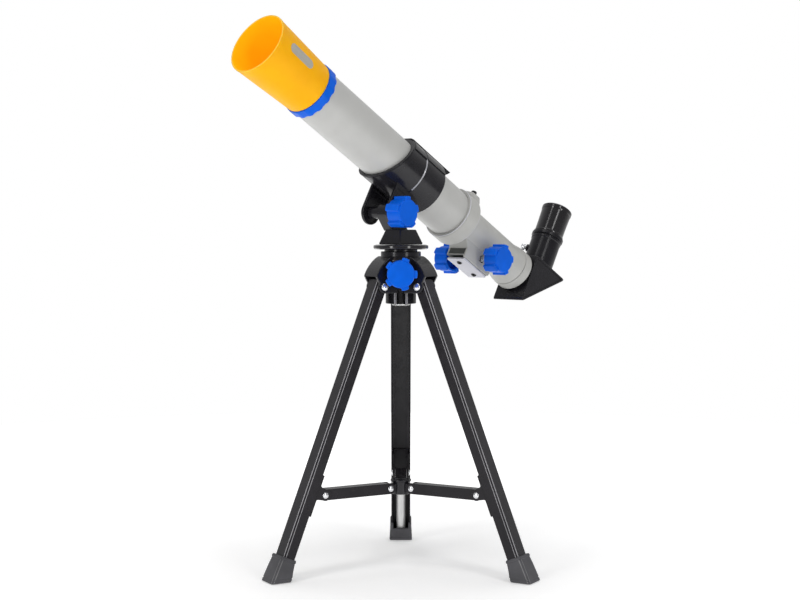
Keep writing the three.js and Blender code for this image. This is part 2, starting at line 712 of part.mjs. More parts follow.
function finderScrew() {
  const top = FINDER.top + GAP;
  const profile = [
    [0, top - 6],
    [1.3, top - 6],
    [1.3, top],
    [2.8, top],
    [2.8, top + 4.6],
    [2.2, top + 5.4],
    [0, top + 5.4],
  ];
  return turned(profile, SMALL_ROUND).translate(FINDER.screw, 0, 0);
}

function focuserHousing() {
  const tube = barX(HOUSING.radius, HOUSING.rear, HOUSING.front);
  const block = box([BLOCK.rear, -BLOCK.half, BLOCK.low], [BLOCK.front, BLOCK.half, -HOUSING.radius + 6]);
  const slotHalf = RACK.half + 0.6;
  const rackSlot = box([HOUSING.rear - 5, -slotHalf, -17.6], [HOUSING.front + 5, slotHalf, -12]);
  const chamberHalf = PINION.length / 2 + 2;
  const chamber = box(
    [PINION.station - 7, -chamberHalf, BLOCK.low - 2],
    [PINION.station + 7, chamberHalf, -12],
  );
  const shaftHole = alongY(bar(PINION.hole, -30, 30)).translate(PINION.station, 0, PINION.up);
  const screwHoles = COVER.screws.map((x) => bar(1.4, BLOCK.low - 2, BLOCK.low + 7).translate(x, 0, 0));
  const bore = barX(HOUSING.bore, HOUSING.rear - 5, HOUSING.front + 5);
  return cut(joined(tube, block), bore, rackSlot, chamber, shaftHole, ...screwHoles);
}

function pinionCover() {
  const plate = box([COVER.rear, -COVER.half, COVER.low], [COVER.front, COVER.half, BLOCK.low - GAP]);
  const holes = COVER.screws.map((x) => bar(2.6, COVER.low - 5, COVER.low + 5).translate(x, 0, 0));
  return cut(plate, ...holes);
}

function coverScrew(x) {
  const top = BLOCK.low - GAP;
  const profile = [
    [0, COVER.low + 0.6],
    [2.2, COVER.low + 0.6],
    [2.2, top],
    [1.1, top],
    [1.1, top + 6],
    [0, top + 6],
  ];
  return turned(profile, 12).translate(x, 0, 0);
}

function pinionShaft() {
  const reach = FOCUS_KNOB_BACK + 12;
  const gear = new THREE.Shape();
  const steps = PINION_TEETH.count * 4;
  for (let i = 0; i < steps; i += 1) {
    const angle = (i / steps) * 2 * Math.PI;
    const radius = i % 4 < 2 ? PINION_TEETH.tip : PINION_TEETH.root;
    if (i === 0) gear.moveTo(radius, 0);
    else gear.lineTo(radius * Math.cos(angle), radius * Math.sin(angle));
  }
  gear.closePath();
  const pinion = new THREE.ExtrudeGeometry(gear, { depth: PINION.length, bevelEnabled: false });
  return alongY(joined(bar(PINION.shaft, -reach, reach), pinion.translate(0, 0, -PINION.length / 2)));
}

function focusDrive() {
  const group = new THREE.Group();
  group.add(part('pinion_shaft', pinionShaft(), LOOK.steel));
  const right = part('focus_knob_right', lobedKnob(PINION.hole, 13, KNOB_TURN.focus), LOOK.blue);
  right.rotation.x = -Math.PI / 2;
  right.position.y = FOCUS_KNOB_BACK;
  const left = part('focus_knob_left', lobedKnob(PINION.hole, 13, -KNOB_TURN.focus), LOOK.blue);
  left.rotation.x = Math.PI / 2;
  left.position.y = -FOCUS_KNOB_BACK;
  group.add(right, left);
  group.position.set(PINION.station, 0, PINION.up);
  return group;
}

function drawTube() {
  return alongX(turnedRing([
    [DRAW_FLANGE.bore, DRAW_FLANGE.rear],
    [DRAW_FLANGE.radius - 1, DRAW_FLANGE.rear],
    [DRAW_FLANGE.radius, DRAW_FLANGE.rear + 1],
    [DRAW_FLANGE.radius, DRAW_FLANGE.front],
    [DRAW.radius, DRAW_FLANGE.front],
    [DRAW.radius, DRAW.front],
    [DRAW.inner, DRAW.front],
    [DRAW.inner, NOSE.front + 2],
    [DRAW_FLANGE.bore, NOSE.front + 2],
  ]));
}

function rack() {
  const pitch = (2 * Math.PI * PINION_TEETH.pitch) / PINION_TEETH.count;
  const teeth = Math.floor((RACK.front - RACK.rear) / pitch);
  const outline = [[RACK.rear, RACK.top], [RACK.rear, RACK.root]];
  for (let i = 0; i < teeth; i += 1) {
    const x = RACK.rear + i * pitch;
    outline.push([x + pitch * 0.25, RACK.root], [x + pitch * 0.4, RACK.low]);
    outline.push([x + pitch * 0.6, RACK.low], [x + pitch * 0.75, RACK.root]);
  }
  outline.push([RACK.front, RACK.root], [RACK.front, RACK.top]);
  return slab(outline, -RACK.half, RACK.half);
}

/** The angled housing that turns the light up: nose, wedge-shaped box and eyepiece socket. */
function diagonalHousing() {
  const { front, top, leg: side, half, wall } = PRISM;
  const wedge = slab([[front, top], [front - side, top], [front, top - side]], -half, half);
  const inset = side - wall * (2 + Math.SQRT2);
  const inner = [
    [front - wall, top - wall],
    [front - wall - inset, top - wall],
    [front - wall, top - wall - inset],
  ];
  const socket = turned([
    [0, top - wall],
    [SOCKET.radius, top - wall],
    [SOCKET.radius, SOCKET.lipLow],
    [SOCKET.lip, SOCKET.lipLow + 1],
    [SOCKET.lip, SOCKET.top],
    [0, SOCKET.top],
  ]).translate(SOCKET.station, 0, 0);
  const boss = thumbscrewPlaced(bar(THUMBSCREW.head, SOCKET.bore + 1, THUMBSCREW.boss));
  return cut(
    joined(barX(NOSE.radius, front - 1, NOSE.front), wedge, socket, boss),
    slab(inner, -half + wall, half - wall),
    barX(NOSE.bore, front - wall - 1, NOSE.front + 5),
    bar(SOCKET.bore, top - wall - 1, SOCKET.top + 5, ROUND).translate(SOCKET.station, 0, 0),
    thumbscrewPlaced(bar(THUMBSCREW.hole, SOCKET.bore - 1, THUMBSCREW.boss + 2)),
  );
}

/** Puts a piece made about Z on the thumbscrew's line, square to the socket's axis. */
function thumbscrewPlaced(geometry) {
  return alongX(geometry).rotateZ(THUMBSCREW.turn).translate(SOCKET.station, 0, THUMBSCREW.up);
}

function eyepieceThumbscrew() {
  const { boss, head, radius } = THUMBSCREW;
  const start = boss + GAP;
  const profile = [
    [0, EYEPIECE.barrel + GAP],
    [radius, EYEPIECE.barrel + GAP],
    [radius, start],
    [head, start],
    [head, start + 4.4],
    [head - 0.8, start + 5.2],
    [0, start + 5.2],
  ];
  return thumbscrewPlaced(turned(profile, 20));
}

/** The mirror lies along the wedge's long side, inside it. */
function diagonalMirror() {
  const thickness = 3;
  const middle = [PRISM.front - PRISM.leg / 2, PRISM.top - PRISM.leg / 2];
  const inward = (PRISM.wall + GAP + thickness / 2) * Math.SQRT1_2;
  const half = PRISM.half - PRISM.wall - GAP;
  const mirror = box([-20, -half, -thickness / 2], [20, half, thickness / 2]);
  return mirror.rotateY(Math.PI / 4).translate(middle[0] + inward, 0, middle[1] + inward);
}

function eyepieceBody() {
  const { low, barrel, shoulder, waist, radius, top, bore } = EYEPIECE;
  const eyeHole = 7;
  return turnedRing([
    [bore, low],
    [barrel, low],
    [barrel, shoulder],
    [radius - 0.4, shoulder],
    [radius, shoulder + 2],
    [waist, shoulder + 14],
    [radius - 0.5, top - 8],
    [radius, top - 2],
    [radius - 1.5, top],
    [eyeHole, top - 1.5],
    [eyeHole, top - 6],
    [bore, top - 6],
  ]).translate(SOCKET.station, 0, 0);
}

function eyepieceLenses() {
  const radius = EYEPIECE.bore - GAP;
  const eye = lens(radius, EYEPIECE.top - 10.4, EYEPIECE.top - 8, 0, 1.6);
  const field = lens(radius, EYEPIECE.low + 4, EYEPIECE.low + 6.4, 0, 1.8);
  return [
    part('eyepiece_eye_lens', eye.translate(SOCKET.station, 0, 0), LOOK.glass),
    part('eyepiece_field_lens', field.translate(SOCKET.station, 0, 0), LOOK.glass),
  ];
}

function telescope() {
  const group = new THREE.Group();
  group.position.set(0, TUBE_SIDE, TUBE_RISE);
  group.add(part('dew_shield', dewShield(), LOOK.orange));
  group.add(part('lens_cell', lensCell(), LOOK.blue));
  group.add(objective());
  group.add(part('main_tube', ringX(TUBE.inner, TUBE.radius, TUBE.rear, TUBE.front, TUBE_ROUND), LOOK.tube));
  group.add(part('tube_baffle', ringX(15, TUBE.inner - GAP, 40, 41.5, 24), LOOK.black));
  group.add(part('cradle', cradle(), LOOK.black));
  group.add(part('rear_cell', rearCell(), LOOK.grey));
  group.add(part('finder_base', finderBase(), LOOK.grey));
  group.add(part('finder_screw', finderScrew(), LOOK.black));
  group.add(part('focuser_housing', focuserHousing(), LOOK.grey));
  group.add(part('pinion_cover', pinionCover(), LOOK.pale));
  COVER.screws.forEach((x, i) => group.add(part(`pinion_cover_screw_${i + 1}`, coverScrew(x), LOOK.black)));
  group.add(focusDrive());
  group.add(part('draw_tube', drawTube(), LOOK.grey));
  group.add(part('focus_rack', rack(), LOOK.black));
  group.add(part('diagonal_housing', diagonalHousing(), LOOK.black));
  group.add(part('diagonal_mirror', diagonalMirror(), LOOK.glass));
  group.add(part('eyepiece_thumbscrew', eyepieceThumbscrew(), LOOK.steel));
  group.add(part('eyepiece_body', eyepieceBody(), LOOK.glossBlack));
  group.add(...eyepieceLenses());
  return group;
}

// ---- Assembly --------------------------------------------------------------------------------

const object = new THREE.Group();
object.add(part('tripod_hub', tripodHub(), LOOK.black));
object.add(azimuthLock());
LEG_NAMES.forEach((name, i) => object.add(leg(name, LEG_DIRECTIONS[i])));
object.add(spreader());
object.add(mount());
const middle = new THREE.Box3().setFromObject(object, true).getCenter(new THREE.Vector3());
object.position.set(-middle.x, -middle.y, 0);

export default object;
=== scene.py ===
import json
import math

import bmesh
import bpy
from mathutils import Matrix, Vector

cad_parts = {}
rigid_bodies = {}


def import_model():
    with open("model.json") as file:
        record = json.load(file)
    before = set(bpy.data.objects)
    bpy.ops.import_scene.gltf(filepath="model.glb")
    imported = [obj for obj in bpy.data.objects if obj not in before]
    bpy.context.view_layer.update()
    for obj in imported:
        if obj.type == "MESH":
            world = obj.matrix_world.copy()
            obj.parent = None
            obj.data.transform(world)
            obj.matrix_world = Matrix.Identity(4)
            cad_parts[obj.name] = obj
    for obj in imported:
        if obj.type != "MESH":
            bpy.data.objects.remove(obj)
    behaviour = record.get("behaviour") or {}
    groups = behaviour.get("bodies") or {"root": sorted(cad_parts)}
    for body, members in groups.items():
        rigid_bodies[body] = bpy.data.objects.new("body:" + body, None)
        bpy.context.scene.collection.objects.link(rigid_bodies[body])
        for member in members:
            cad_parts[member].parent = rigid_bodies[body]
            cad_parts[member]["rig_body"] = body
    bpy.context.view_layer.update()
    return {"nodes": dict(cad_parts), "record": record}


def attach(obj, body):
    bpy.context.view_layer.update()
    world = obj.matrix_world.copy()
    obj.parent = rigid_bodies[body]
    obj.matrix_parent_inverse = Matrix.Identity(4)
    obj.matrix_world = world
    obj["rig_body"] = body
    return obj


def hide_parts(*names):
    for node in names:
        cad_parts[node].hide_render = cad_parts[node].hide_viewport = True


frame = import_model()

# A small refracting telescope on a folding table tripod. Shapes are built in millimetres, in the local frame
# of the piece they belong to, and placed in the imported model's frame.

MM = 0.001
LEG_NAMES = ("left", "right", "rear")
LEG_TILT = math.radians(21.4)  # how far each leg leans out from upright

RECORD = frame["record"]
JOINTS = {joint["name"]: joint for joint in RECORD["behaviour"]["joints"]}
SLOTS = {row["node"]: row["material_slot"] for row in RECORD["subparts"]}


# ---- Frames ------------------------------------------------------------------------------------

def axes(x_axis, y_axis, z_axis, origin):
    """A frame from its three directions and its origin in millimetres."""
    matrix = Matrix((x_axis, y_axis, z_axis)).transposed().to_4x4()
    return Matrix.Translation(origin) @ matrix


def joint_point(name):
    return Vector(JOINTS[name]["pos_m"]) / MM


def joint_axis(name):
    return Vector(JOINTS[name]["axis"]).normalized()


def shifted(place, x=0, y=0, z=0):
    return place @ Matrix.Translation((x, y, z))


def along_x(place):
    """Local Z of the new frame lies along X of the old one."""
    return place @ Matrix.Rotation(math.pi / 2, 4, "Y")


def along_y(place):
    """Local Z of the new frame lies along Y of the old one."""
    return place @ Matrix.Rotation(-math.pi / 2, 4, "X")


UP = Vector((0, 0, 1))
HERE = Matrix.Identity(4)
AXIS_FOOT = Vector((*joint_point("azimuth_turn").xy, 0))
TRIPOD = Matrix.Translation(AXIS_FOOT)  # on the ground under the azimuth axis


def mount_frame():
    across = -joint_axis("altitude_tilt")
    return axes(across.cross(UP), across, UP, AXIS_FOOT)


def telescope_frame():
    """X forward along the tube, Y level, Z up; the origin is on the tube's axis over the tilt axis."""
    forward = joint_axis("dew_shield_pull")
    across = -joint_axis("altitude_tilt")
    on_axis = joint_point("diagonal_turn")
    origin = on_axis + forward * (joint_point("altitude_tilt") - on_axis).dot(forward)
    return axes(forward, across, forward.cross(across), origin)


def pinned_frame(joint):
    """X outward, Z up, origin on the pin."""
    across = joint_axis(joint)
    return axes(across.cross(UP), across, UP, joint_point(joint))


def outward(joint):
    """The turn that takes X the way a leg or an arm goes, and how far its joint is from the azimuth axis."""
    place = pinned_frame(joint)
    reach = (joint_point(joint) - AXIS_FOOT).xy.length
    place.translation = (0, 0, 0)
    return place, reach


MOUNT = mount_frame()
SCOPE = telescope_frame()
TUBE_LINE = along_x(SCOPE)
LEGS = {name: pinned_frame(f"leg_{name}_fold") @ Matrix.Rotation(-LEG_TILT, 4, "Y") for name in LEG_NAMES}
ARMS = {name: pinned_frame(f"arm_{name}_fold") for name in LEG_NAMES}


def extent(node, place):
    """Lowest and highest corners of a CAD node in a local frame, in millimetres."""
    inverse = place.inverted()
    points = [inverse @ (vertex.co / MM) for vertex in frame["nodes"][node].data.vertices]
    low = Vector(min(point[axis] for point in points) for axis in range(3))
    high = Vector(max(point[axis] for point in points) for axis in range(3))
    return low, high


# ---- Outlines ----------------------------------------------------------------------------------

def rounded(points, closed=True, steps=5):
    """A polygon whose points may carry a corner radius: (x, y) or (x, y, radius)."""
    result = []
    count = len(points)
    for i, point in enumerate(points):
        here = Vector(point[:2])
        radius = point[2] if len(point) > 2 else 0
        at_end = not closed and i in (0, count - 1)
        if not radius or at_end:
            result.append(here)
            continue
        before = Vector(points[i - 1][:2]) - here
        after = Vector(points[(i + 1) % count][:2]) - here
        reach = radius / math.tan(before.angle(after) / 2)
        reach = min(reach, before.length * 0.48, after.length * 0.48)
        start = here + before.normalized() * reach
        end = here + after.normalized() * reach
        for k in range(steps + 1):
            t = k / steps
            result.append(start * (1 - t) ** 2 + here * 2 * t * (1 - t) + end * t ** 2)
    return result


def arc(x, y, radius, start, end, steps=16):
    """Points on an arc, its angles in degrees."""
    turns = [math.radians(start + (end - start) * k / steps) for k in range(steps + 1)]
    return [(x + radius * math.cos(turn), y + radius * math.sin(turn)) for turn in turns]


def area(points):
    return sum(a[0] * b[1] - b[0] * a[1] for a, b in zip(points, points[1:] + points[:1])) / 2


def inset(points, distance):
    """Moves a counter-clockwise outline inward by a small distance."""
    result = []
    for i, point in enumerate(points):
        here = Vector(point[:2])
        before = (here - Vector(points[i - 1][:2])).normalized()
        after = (Vector(points[(i + 1) % len(points)][:2]) - here).normalized()
        normal = Vector((-before.y - after.y, before.x + after.x))
        stretch = normal.dot(Vector((-before.y, before.x)))
        result.append(here + normal * (distance / max(stretch, 0.3)))
    return result


def rectangle(x_low, x_high, y_low, y_high, radius=0.0):
    corners = [(x_low, y_low), (x_high, y_low), (x_high, y_high), (x_low, y_high)]
    return rounded([(x, y, radius) for x, y in corners])


# ---- Shells: closed bmesh surfaces in millimetres ------------------------------------------------

def loft(rings, closed=False):
    """A skin through rings with the same number of points. Open stacks are capped at both ends."""
    bm = bmesh.new()
    loops = [[bm.verts.new(point) for point in ring] for ring in rings]
    following = loops[1:] + loops[:1] if closed else loops[1:]
    for low, high in zip(loops, following):
        for i, vertex in enumerate(low):
            j = (i + 1) % len(low)
            bm.faces.new((vertex, low[j], high[j], high[i]))
    if not closed:
        bm.faces.new(loops[0])
        bm.faces.new(loops[-1])
    bmesh.ops.remove_doubles(bm, verts=bm.verts, dist=1e-4)
    bmesh.ops.recalc_face_normals(bm, faces=bm.faces)
    return bm


def lathe(profile, sides=96, wave=None):
    """Turns (radius, z) points about Z. A profile off the axis at both ends closes on itself."""
    closed = profile[0][0] > 0
    rings = []
    for radius, z in rounded(profile, closed):
        ring = []
        for i in range(sides):
            turn = 2 * math.pi * i / sides
            r, height = wave(turn, radius, z) if wave else (radius, z)
            ring.append((r * math.cos(turn), r * math.sin(turn), height))
        rings.append(ring)
    return loft(rings, closed)


def extruded(outline, low, high, edge=0.0, steps=3):
    """An XY outline raised along Z, with its two rims rounded off by an edge radius."""
    points = [Vector(point[:2]) for point in outline]
    if area(points) < 0:
        points.reverse()
    if not edge:
        levels = [(0, low), (0, high)]
    else:
        turns = [math.pi / 2 * k / steps for k in range(steps + 1)]
        levels = [(edge * (1 - math.sin(turn)), low + edge * (1 - math.cos(turn))) for turn in turns]
        levels += [(edge * (1 - math.cos(turn)), high - edge * (1 - math.sin(turn))) for turn in turns]
    return loft([[(x, y, z) for x, y in inset(points, move)] for move, z in levels])


def slab(outline, y_low, y_high, edge=0.0):
    """An XZ outline given thickness along Y."""
    bm = extruded([(x, -z) for x, z in (point[:2] for point in outline)], y_low, y_high, edge)
    return moved(bm, Matrix.Rotation(-math.pi / 2, 4, "X"))


def block(low, high, edge=0.0, corner=0.0):
    corner = max(corner, 2 * edge)
    return extruded(rectangle(low[0], high[0], low[1], high[1], corner), low[2], high[2], edge)


def rod(radius, low, high, edge=0.0, sides=48):
    return lathe([(0, low), (radius, low, edge), (radius, high, edge), (0, high)], sides)


def moved(bm, matrix):
    bmesh.ops.transform(bm, matrix=matrix, verts=bm.verts)
    return bm


# ---- Pieces ------------------------------------------------------------------------------------

def mesh_object(name, bm):
    mesh = bpy.data.meshes.new(name)
    bm.to_mesh(mesh)
    bm.free()
    obj = bpy.data.objects.new(name, mesh)
    bpy.context.scene.collection.objects.link(obj)
    return obj


def combine(obj, others, operation):
    """Joins or cuts with other shells, one after another."""
    for bm in others:
        tool = mesh_object("tool", bm)
        modifier = obj.modifiers.new("combine", "BOOLEAN")
        modifier.operation = operation
        modifier.solver = "EXACT"
        modifier.object = tool
        graph = bpy.context.evaluated_depsgraph_get()
        mesh = bpy.data.meshes.new_from_object(obj.evaluated_get(graph))
        obj.modifiers.clear()
        old = obj.data
        obj.data = mesh
        bpy.data.meshes.remove(old)
        bpy.data.objects.remove(tool)


def piece(name, node, place, shells, cuts=(), look=None, crease=40):
    """Builds one visible piece that stands for a CAD node and rides on that node's body."""
    if not isinstance(shells, (list, tuple)):
        shells = [shells]
    obj = mesh_object(name, shells[0])
    combine(obj, shells[1:], "UNION")
    combine(obj, cuts, "DIFFERENCE")
    obj.data.name = name
    obj.data.transform(Matrix.Scale(MM, 4) @ place)
    obj.data.polygons.foreach_set("use_smooth", [True] * len(obj.data.polygons))
    obj.data.set_sharp_from_angle(angle=math.radians(crease))
    obj.modifiers.new("even shading", "WEIGHTED_NORMAL").keep_sharp = True
    obj.data.materials.clear()
    obj.data.materials.append(look or LOOKS[SLOTS[node]])
    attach(obj, frame["nodes"][node]["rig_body"])
    if name != node:
        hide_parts(node)
    return obj


def finish_extra(obj, place, look, body):
    """Places a small visual piece that no CAD node stands for."""
    obj.data.transform(Matrix.Scale(MM, 4) @ place)
    obj.data.polygons.foreach_set("use_smooth", [True] * len(obj.data.polygons))
    obj.data.set_sharp_from_angle(angle=math.radians(50))
    obj.data.materials.clear()
    obj.data.materials.append(look)
    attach(obj, body)


def second_look(obj, look, place, chosen):
    """Gives another material to the faces for which chosen(centre in millimetres, normal) is true."""
    obj.data.materials.append(look)
    inverse = place.inverted()
    for polygon in obj.data.polygons:
        if chosen(inverse @ (polygon.center / MM), inverse.to_3x3() @ polygon.normal):
            polygon.material_index = len(obj.data.materials) - 1


# ---- Materials ---------------------------------------------------------------------------------

def remap(tree, source, source_range, target_range):
    """A node that takes a value from one range to another."""
    node = tree.nodes.new("ShaderNodeMapRange")
    for key, value in zip(("From Min", "From Max", "To Min", "To Max"), (*source_range, *target_range)):
        node.inputs[key].default_value = value
    tree.links.new(source, node.inputs["Value"])
    return node.outputs["Result"]


def surface(name, colour, rough, metal=0.0, tone=0.08, mottle=60.0, grain=2600.0, depth=0.02,
            smudge=0.06, brushed=None, coat=0.0, specular=0.5, subsurface=0.0, glow=0.0):
    """A principled material with uneven tone, fine grain and handled roughness, all procedural."""
    material = bpy.data.materials.new(name)
    material.use_nodes = True
    nodes = material.node_tree.nodes
    links = material.node_tree.links
    shader = nodes["Principled BSDF"]
    shader.inputs["Metallic"].default_value = metal
    shader.inputs["Coat Weight"].default_value = coat
    shader.inputs["Coat Roughness"].default_value = 0.12
    shader.inputs["Specular IOR Level"].default_value = specular
    shader.inputs["Subsurface Weight"].default_value = subsurface
    shader.inputs["Subsurface Radius"].default_value = (0.004, 0.002, 0.0005)
    shader.inputs["Emission Color"].default_value = (*colour, 1.0)
    shader.inputs["Emission Strength"].default_value = glow
    place = nodes.new("ShaderNodeTexCoord")

    def noise(scale, detail=3.0, stretch=None):
        node = nodes.new("ShaderNodeTexNoise")
        node.inputs["Scale"].default_value = scale
        node.inputs["Detail"].default_value = detail
        source = place.outputs["Object"]
        if stretch:
            mapping = nodes.new("ShaderNodeMapping")
            mapping.inputs["Scale"].default_value = stretch
            links.new(source, mapping.inputs["Vector"])
            source = mapping.outputs["Vector"]
        links.new(source, node.inputs["Vector"])
        return node.outputs["Fac"]

    ramp = nodes.new("ShaderNodeValToRGB")
    for stop, factor in zip(ramp.color_ramp.elements, (1 - tone, 1 + tone)):
        stop.color = [min(channel * factor, 1.0) for channel in colour] + [1.0]
    ramp.color_ramp.elements[0].position = 0.35
    ramp.color_ramp.elements[1].position = 0.65
    links.new(noise(mottle), ramp.inputs["Fac"])
    links.new(ramp.outputs["Color"], shader.inputs["Base Color"])
    rough_range = (max(rough - smudge, 0.02), rough + smudge)
    handled = remap(material.node_tree, noise(mottle * 2.3, 5.0, brushed), (0.3, 0.7), rough_range)
    links.new(handled, shader.inputs["Roughness"])
    bump = nodes.new("ShaderNodeBump")
    bump.inputs["Distance"].default_value = depth * MM
    bump.inputs["Strength"].default_value = 0.6
    links.new(noise(grain, 2.0, brushed), bump.inputs["Height"])
    links.new(bump.outputs["Normal"], shader.inputs["Normal"])
    return material


def glass(name, tint):
    """Clear coated glass: mostly seen through, with a faint tint in its reflections."""
    material = surface(name, tint, 0.03, tone=0.02, depth=0.001, smudge=0.01, specular=0.8)
    shader = material.node_tree.nodes["Principled BSDF"]
    shader.inputs["Transmission Weight"].default_value = 1.0
    shader.inputs["IOR"].default_value = 1.5
    return material


LOOKS = {
    "orange_plastic": surface("orange plastic", (0.99, 0.455, 0.003), 0.45, tone=0.03, grain=1800, depth=0.01,
                              specular=0.12, subsurface=0.25),
    "blue_plastic": surface("blue plastic", (0.0006, 0.115, 0.70), 0.34, tone=0.08, grain=2200, depth=0.015,
                            specular=0.14),
    "tube_paint": surface("tube paint", (0.50, 0.50, 0.485), 0.34, tone=0.02, grain=900, depth=0.01,
                          specular=0.4),
    "grey_plastic": surface("grey plastic", (0.475, 0.475, 0.455), 0.42, tone=0.03, grain=2000, depth=0.02,
                            specular=0.4),
    "pale_plastic": surface("pale plastic", (0.60, 0.60, 0.66), 0.45, tone=0.03, grain=2400, depth=0.02),
    "black_plastic": surface("black plastic", (0.012, 0.0115, 0.0145), 0.22, tone=0.15, grain=2600,
                             depth=0.012, specular=0.36),
    "gloss_black_plastic": surface("gloss black plastic", (0.013, 0.012, 0.014), 0.13, tone=0.12,
                                   grain=1500, depth=0.004, smudge=0.05, coat=0.3),
    "black_aluminium": surface("black anodised channel", (0.012, 0.0105, 0.0135), 0.30, tone=0.12,
                               grain=1400, depth=0.006, specular=0.25),
    "bare_aluminium": surface("bare aluminium", (0.80, 0.80, 0.79), 0.35, metal=0.45, tone=0.04, grain=1500,
                              depth=0.005, brushed=(1, 1, 0.05)),
    "steel": surface("plated steel", (0.80, 0.81, 0.83), 0.2, metal=0.9, tone=0.04, grain=1500, depth=0.003),
    "rubber": surface("dark rubber", (0.06, 0.059, 0.066), 0.55, tone=0.15, grain=2600, depth=0.04),
    "lens_glass": glass("lens glass", (0.93, 0.97, 1.0)),
    "mirror": surface("front silvered mirror", (0.86, 0.87, 0.9), 0.04, metal=1.0, tone=0.01, depth=0.001,
                      smudge=0.01),
}
MATT_BLACK = surface("matt black lining", (0.012, 0.012, 0.013), 0.8, tone=0.15, grain=3000, depth=0.04)
# Painted light: the dew shield's inner wall is a deeper orange that glows, standing for light through the
# thin plastic and light bounced between its walls.
ORANGE_INSIDE_PAINTED_GLOW = surface("orange inside, painted glow", (1.0, 0.40, 0.003), 0.5, tone=0.04, grain=1800, depth=0.01,
                        specular=0.1, glow=0.42)
# Painted highlight: a lighter, yellower orange on the dew shield's front rim.
RIM_PAINTED_HIGHLIGHT = surface("thin orange rim, painted highlight", (1.0, 0.60, 0.03), 0.4, tone=0.02)
BADGE_GREY = surface("plain grey badge", (0.42, 0.40, 0.36), 0.4, tone=0.03, grain=1500, depth=0.005)
MARK_GREY = surface("pale printed mark", (0.5, 0.5, 0.5), 0.6, tone=0.1, grain=3000, depth=0.01)
# Painted shade: a dark grey laid in the focuser block's front recess.
SHADE_GREY = surface("painted shade in recess", (0.07, 0.075, 0.07), 0.5, tone=0.1, grain=2000, depth=0.02)
# Painted highlight: a lighter grey on the ends of each boot corner's rounding, as highlight lines.
BOOT_PAINTED_HIGHLIGHT = surface("boot corner, painted highlight", (0.17, 0.17, 0.175), 0.5, tone=0.2, grain=2600, depth=0.02)
SCREW_BLACK = surface("blackened screw", (0.006, 0.006, 0.007), 0.4, tone=0.1, specular=0.3)
# Painted highlight: a lighter grey laid on narrow facets for the light lines along the legs' corners and the
# reflections on the hub window's walls.
PAINTED_EDGE_HIGHLIGHT = surface("painted edge highlight", (0.30, 0.295, 0.31), 0.3, tone=0.1, grain=1400, depth=0.004)
# Painted highlight: a lighter, glossier grey laid on the cradle's seam chamfer for the bright line the lights
# make there.
PAINTED_SEAM_HIGHLIGHT = surface("painted seam highlight", (0.42, 0.42, 0.45), 0.15, tone=0.2, mottle=200, depth=0.004,
                     specular=0.8)
CHANNEL_INSIDE = surface("channel inside", (0.02, 0.019, 0.022), 0.5, tone=0.1)


# ---- Knobs, pins and screws ----------------------------------------------------------------------

KNOB = {"reach": 15.2, "drum": 12.6, "half": 3.4, "height": 16.0, "edge": 0.8, "face": 12.1, "raised": 0.7}
KNOB_BACK = {"pocket": 10.6, "depth": 9.0, "hub": 4.6, "bore": 2.4}
KNOB_TURN = {"azimuth": -1, "altitude": -92, "focus": 210}  # where each knob's first lobe points, in degrees
LOBES = 5


def knob_outline():
    """A round drum with five square lobes, the first towards +X."""
    points = []
    root = math.degrees(math.asin(KNOB["half"] / KNOB["drum"]))
    step = 360 / LOBES
    for i in range(LOBES):
        turn = Matrix.Rotation(math.radians(i * step), 2)
        along = math.sqrt(KNOB["drum"] ** 2 - KNOB["half"] ** 2)
        tip = math.sqrt(KNOB["reach"] ** 2 - KNOB["half"] ** 2)
        lobe = [(along, -KNOB["half"], 0.7), (tip, -KNOB["half"], 0.9)]
        lobe += [(KNOB["reach"], 0)]
        lobe += [(tip, KNOB["half"], 0.9), (along, KNOB["half"], 0.7)]
        for point in lobe:
            moved_point = turn @ Vector(point[:2])
            points.append((moved_point.x, moved_point.y, *point[2:]))
        points += arc(0, 0, KNOB["drum"], i * step + root + 5, (i + 1) * step - root - 5, 8)
    return rounded(points, steps=4)


def knob(name, node, place, phase=0.0, shaft=0.0):
    """A five-lobed knob about Z with its open back at z = 0."""
    outline = knob_outline()
    turns = [math.atan2(y, x) for x, y in outline]

    def circle(radius, z):
        return [(radius * math.cos(turn), radius * math.sin(turn), z) for turn in turns]

    def rim(move, z):
        return [(x, y, z) for x, y in inset(outline, move)]

    edge, top = KNOB["edge"], KNOB["height"]
    shoulder = top - KNOB["raised"]
    bore = max(KNOB_BACK["bore"], shaft + 0.1)
    rings = [circle(bore, 12.5), circle(bore, 0.4), circle(bore + 0.4, 0.0), circle(KNOB_BACK["hub"], 0.0)]
    rings += [circle(KNOB_BACK["hub"], KNOB_BACK["depth"]), circle(KNOB_BACK["pocket"], KNOB_BACK["depth"])]
    rings += [circle(KNOB_BACK["pocket"], 0.5), circle(KNOB_BACK["pocket"] + 0.5, 0.0)]
    bends = [math.pi / 2 * k / 4 for k in range(5)]
    rings += [rim(edge * 0.6 * (1 - math.sin(bend)), edge * 0.6 * (1 - math.cos(bend))) for bend in bends]
    rings += [rim(edge * (1 - math.cos(bend)), shoulder - edge * (1 - math.sin(bend))) for bend in bends]
    face = KNOB["face"]
    rings += [circle(face + 0.1, shoulder - 0.25), circle(face, shoulder - 0.2)]
    rings += [circle(face - 0.5 * (1 - math.cos(bend)), top - 0.5 * (1 - math.sin(bend))) for bend in bends]
    rings += [circle(face - 4, top - 0.1), circle(2, top - 0.2)]
    turned = place @ Matrix.Rotation(math.radians(phase), 4, "Z")
    piece(name, node, turned, loft(rings), crease=50)


def dome_head(radius, low, high):
    """Half a profile for a rivet's domed head: from its edge up to its middle."""
    steps = 6
    turns = [math.pi / 2 * k / steps for k in range(steps + 1)]
    return [(radius * math.cos(turn), low + (high - low) * math.sin(turn)) for turn in turns]


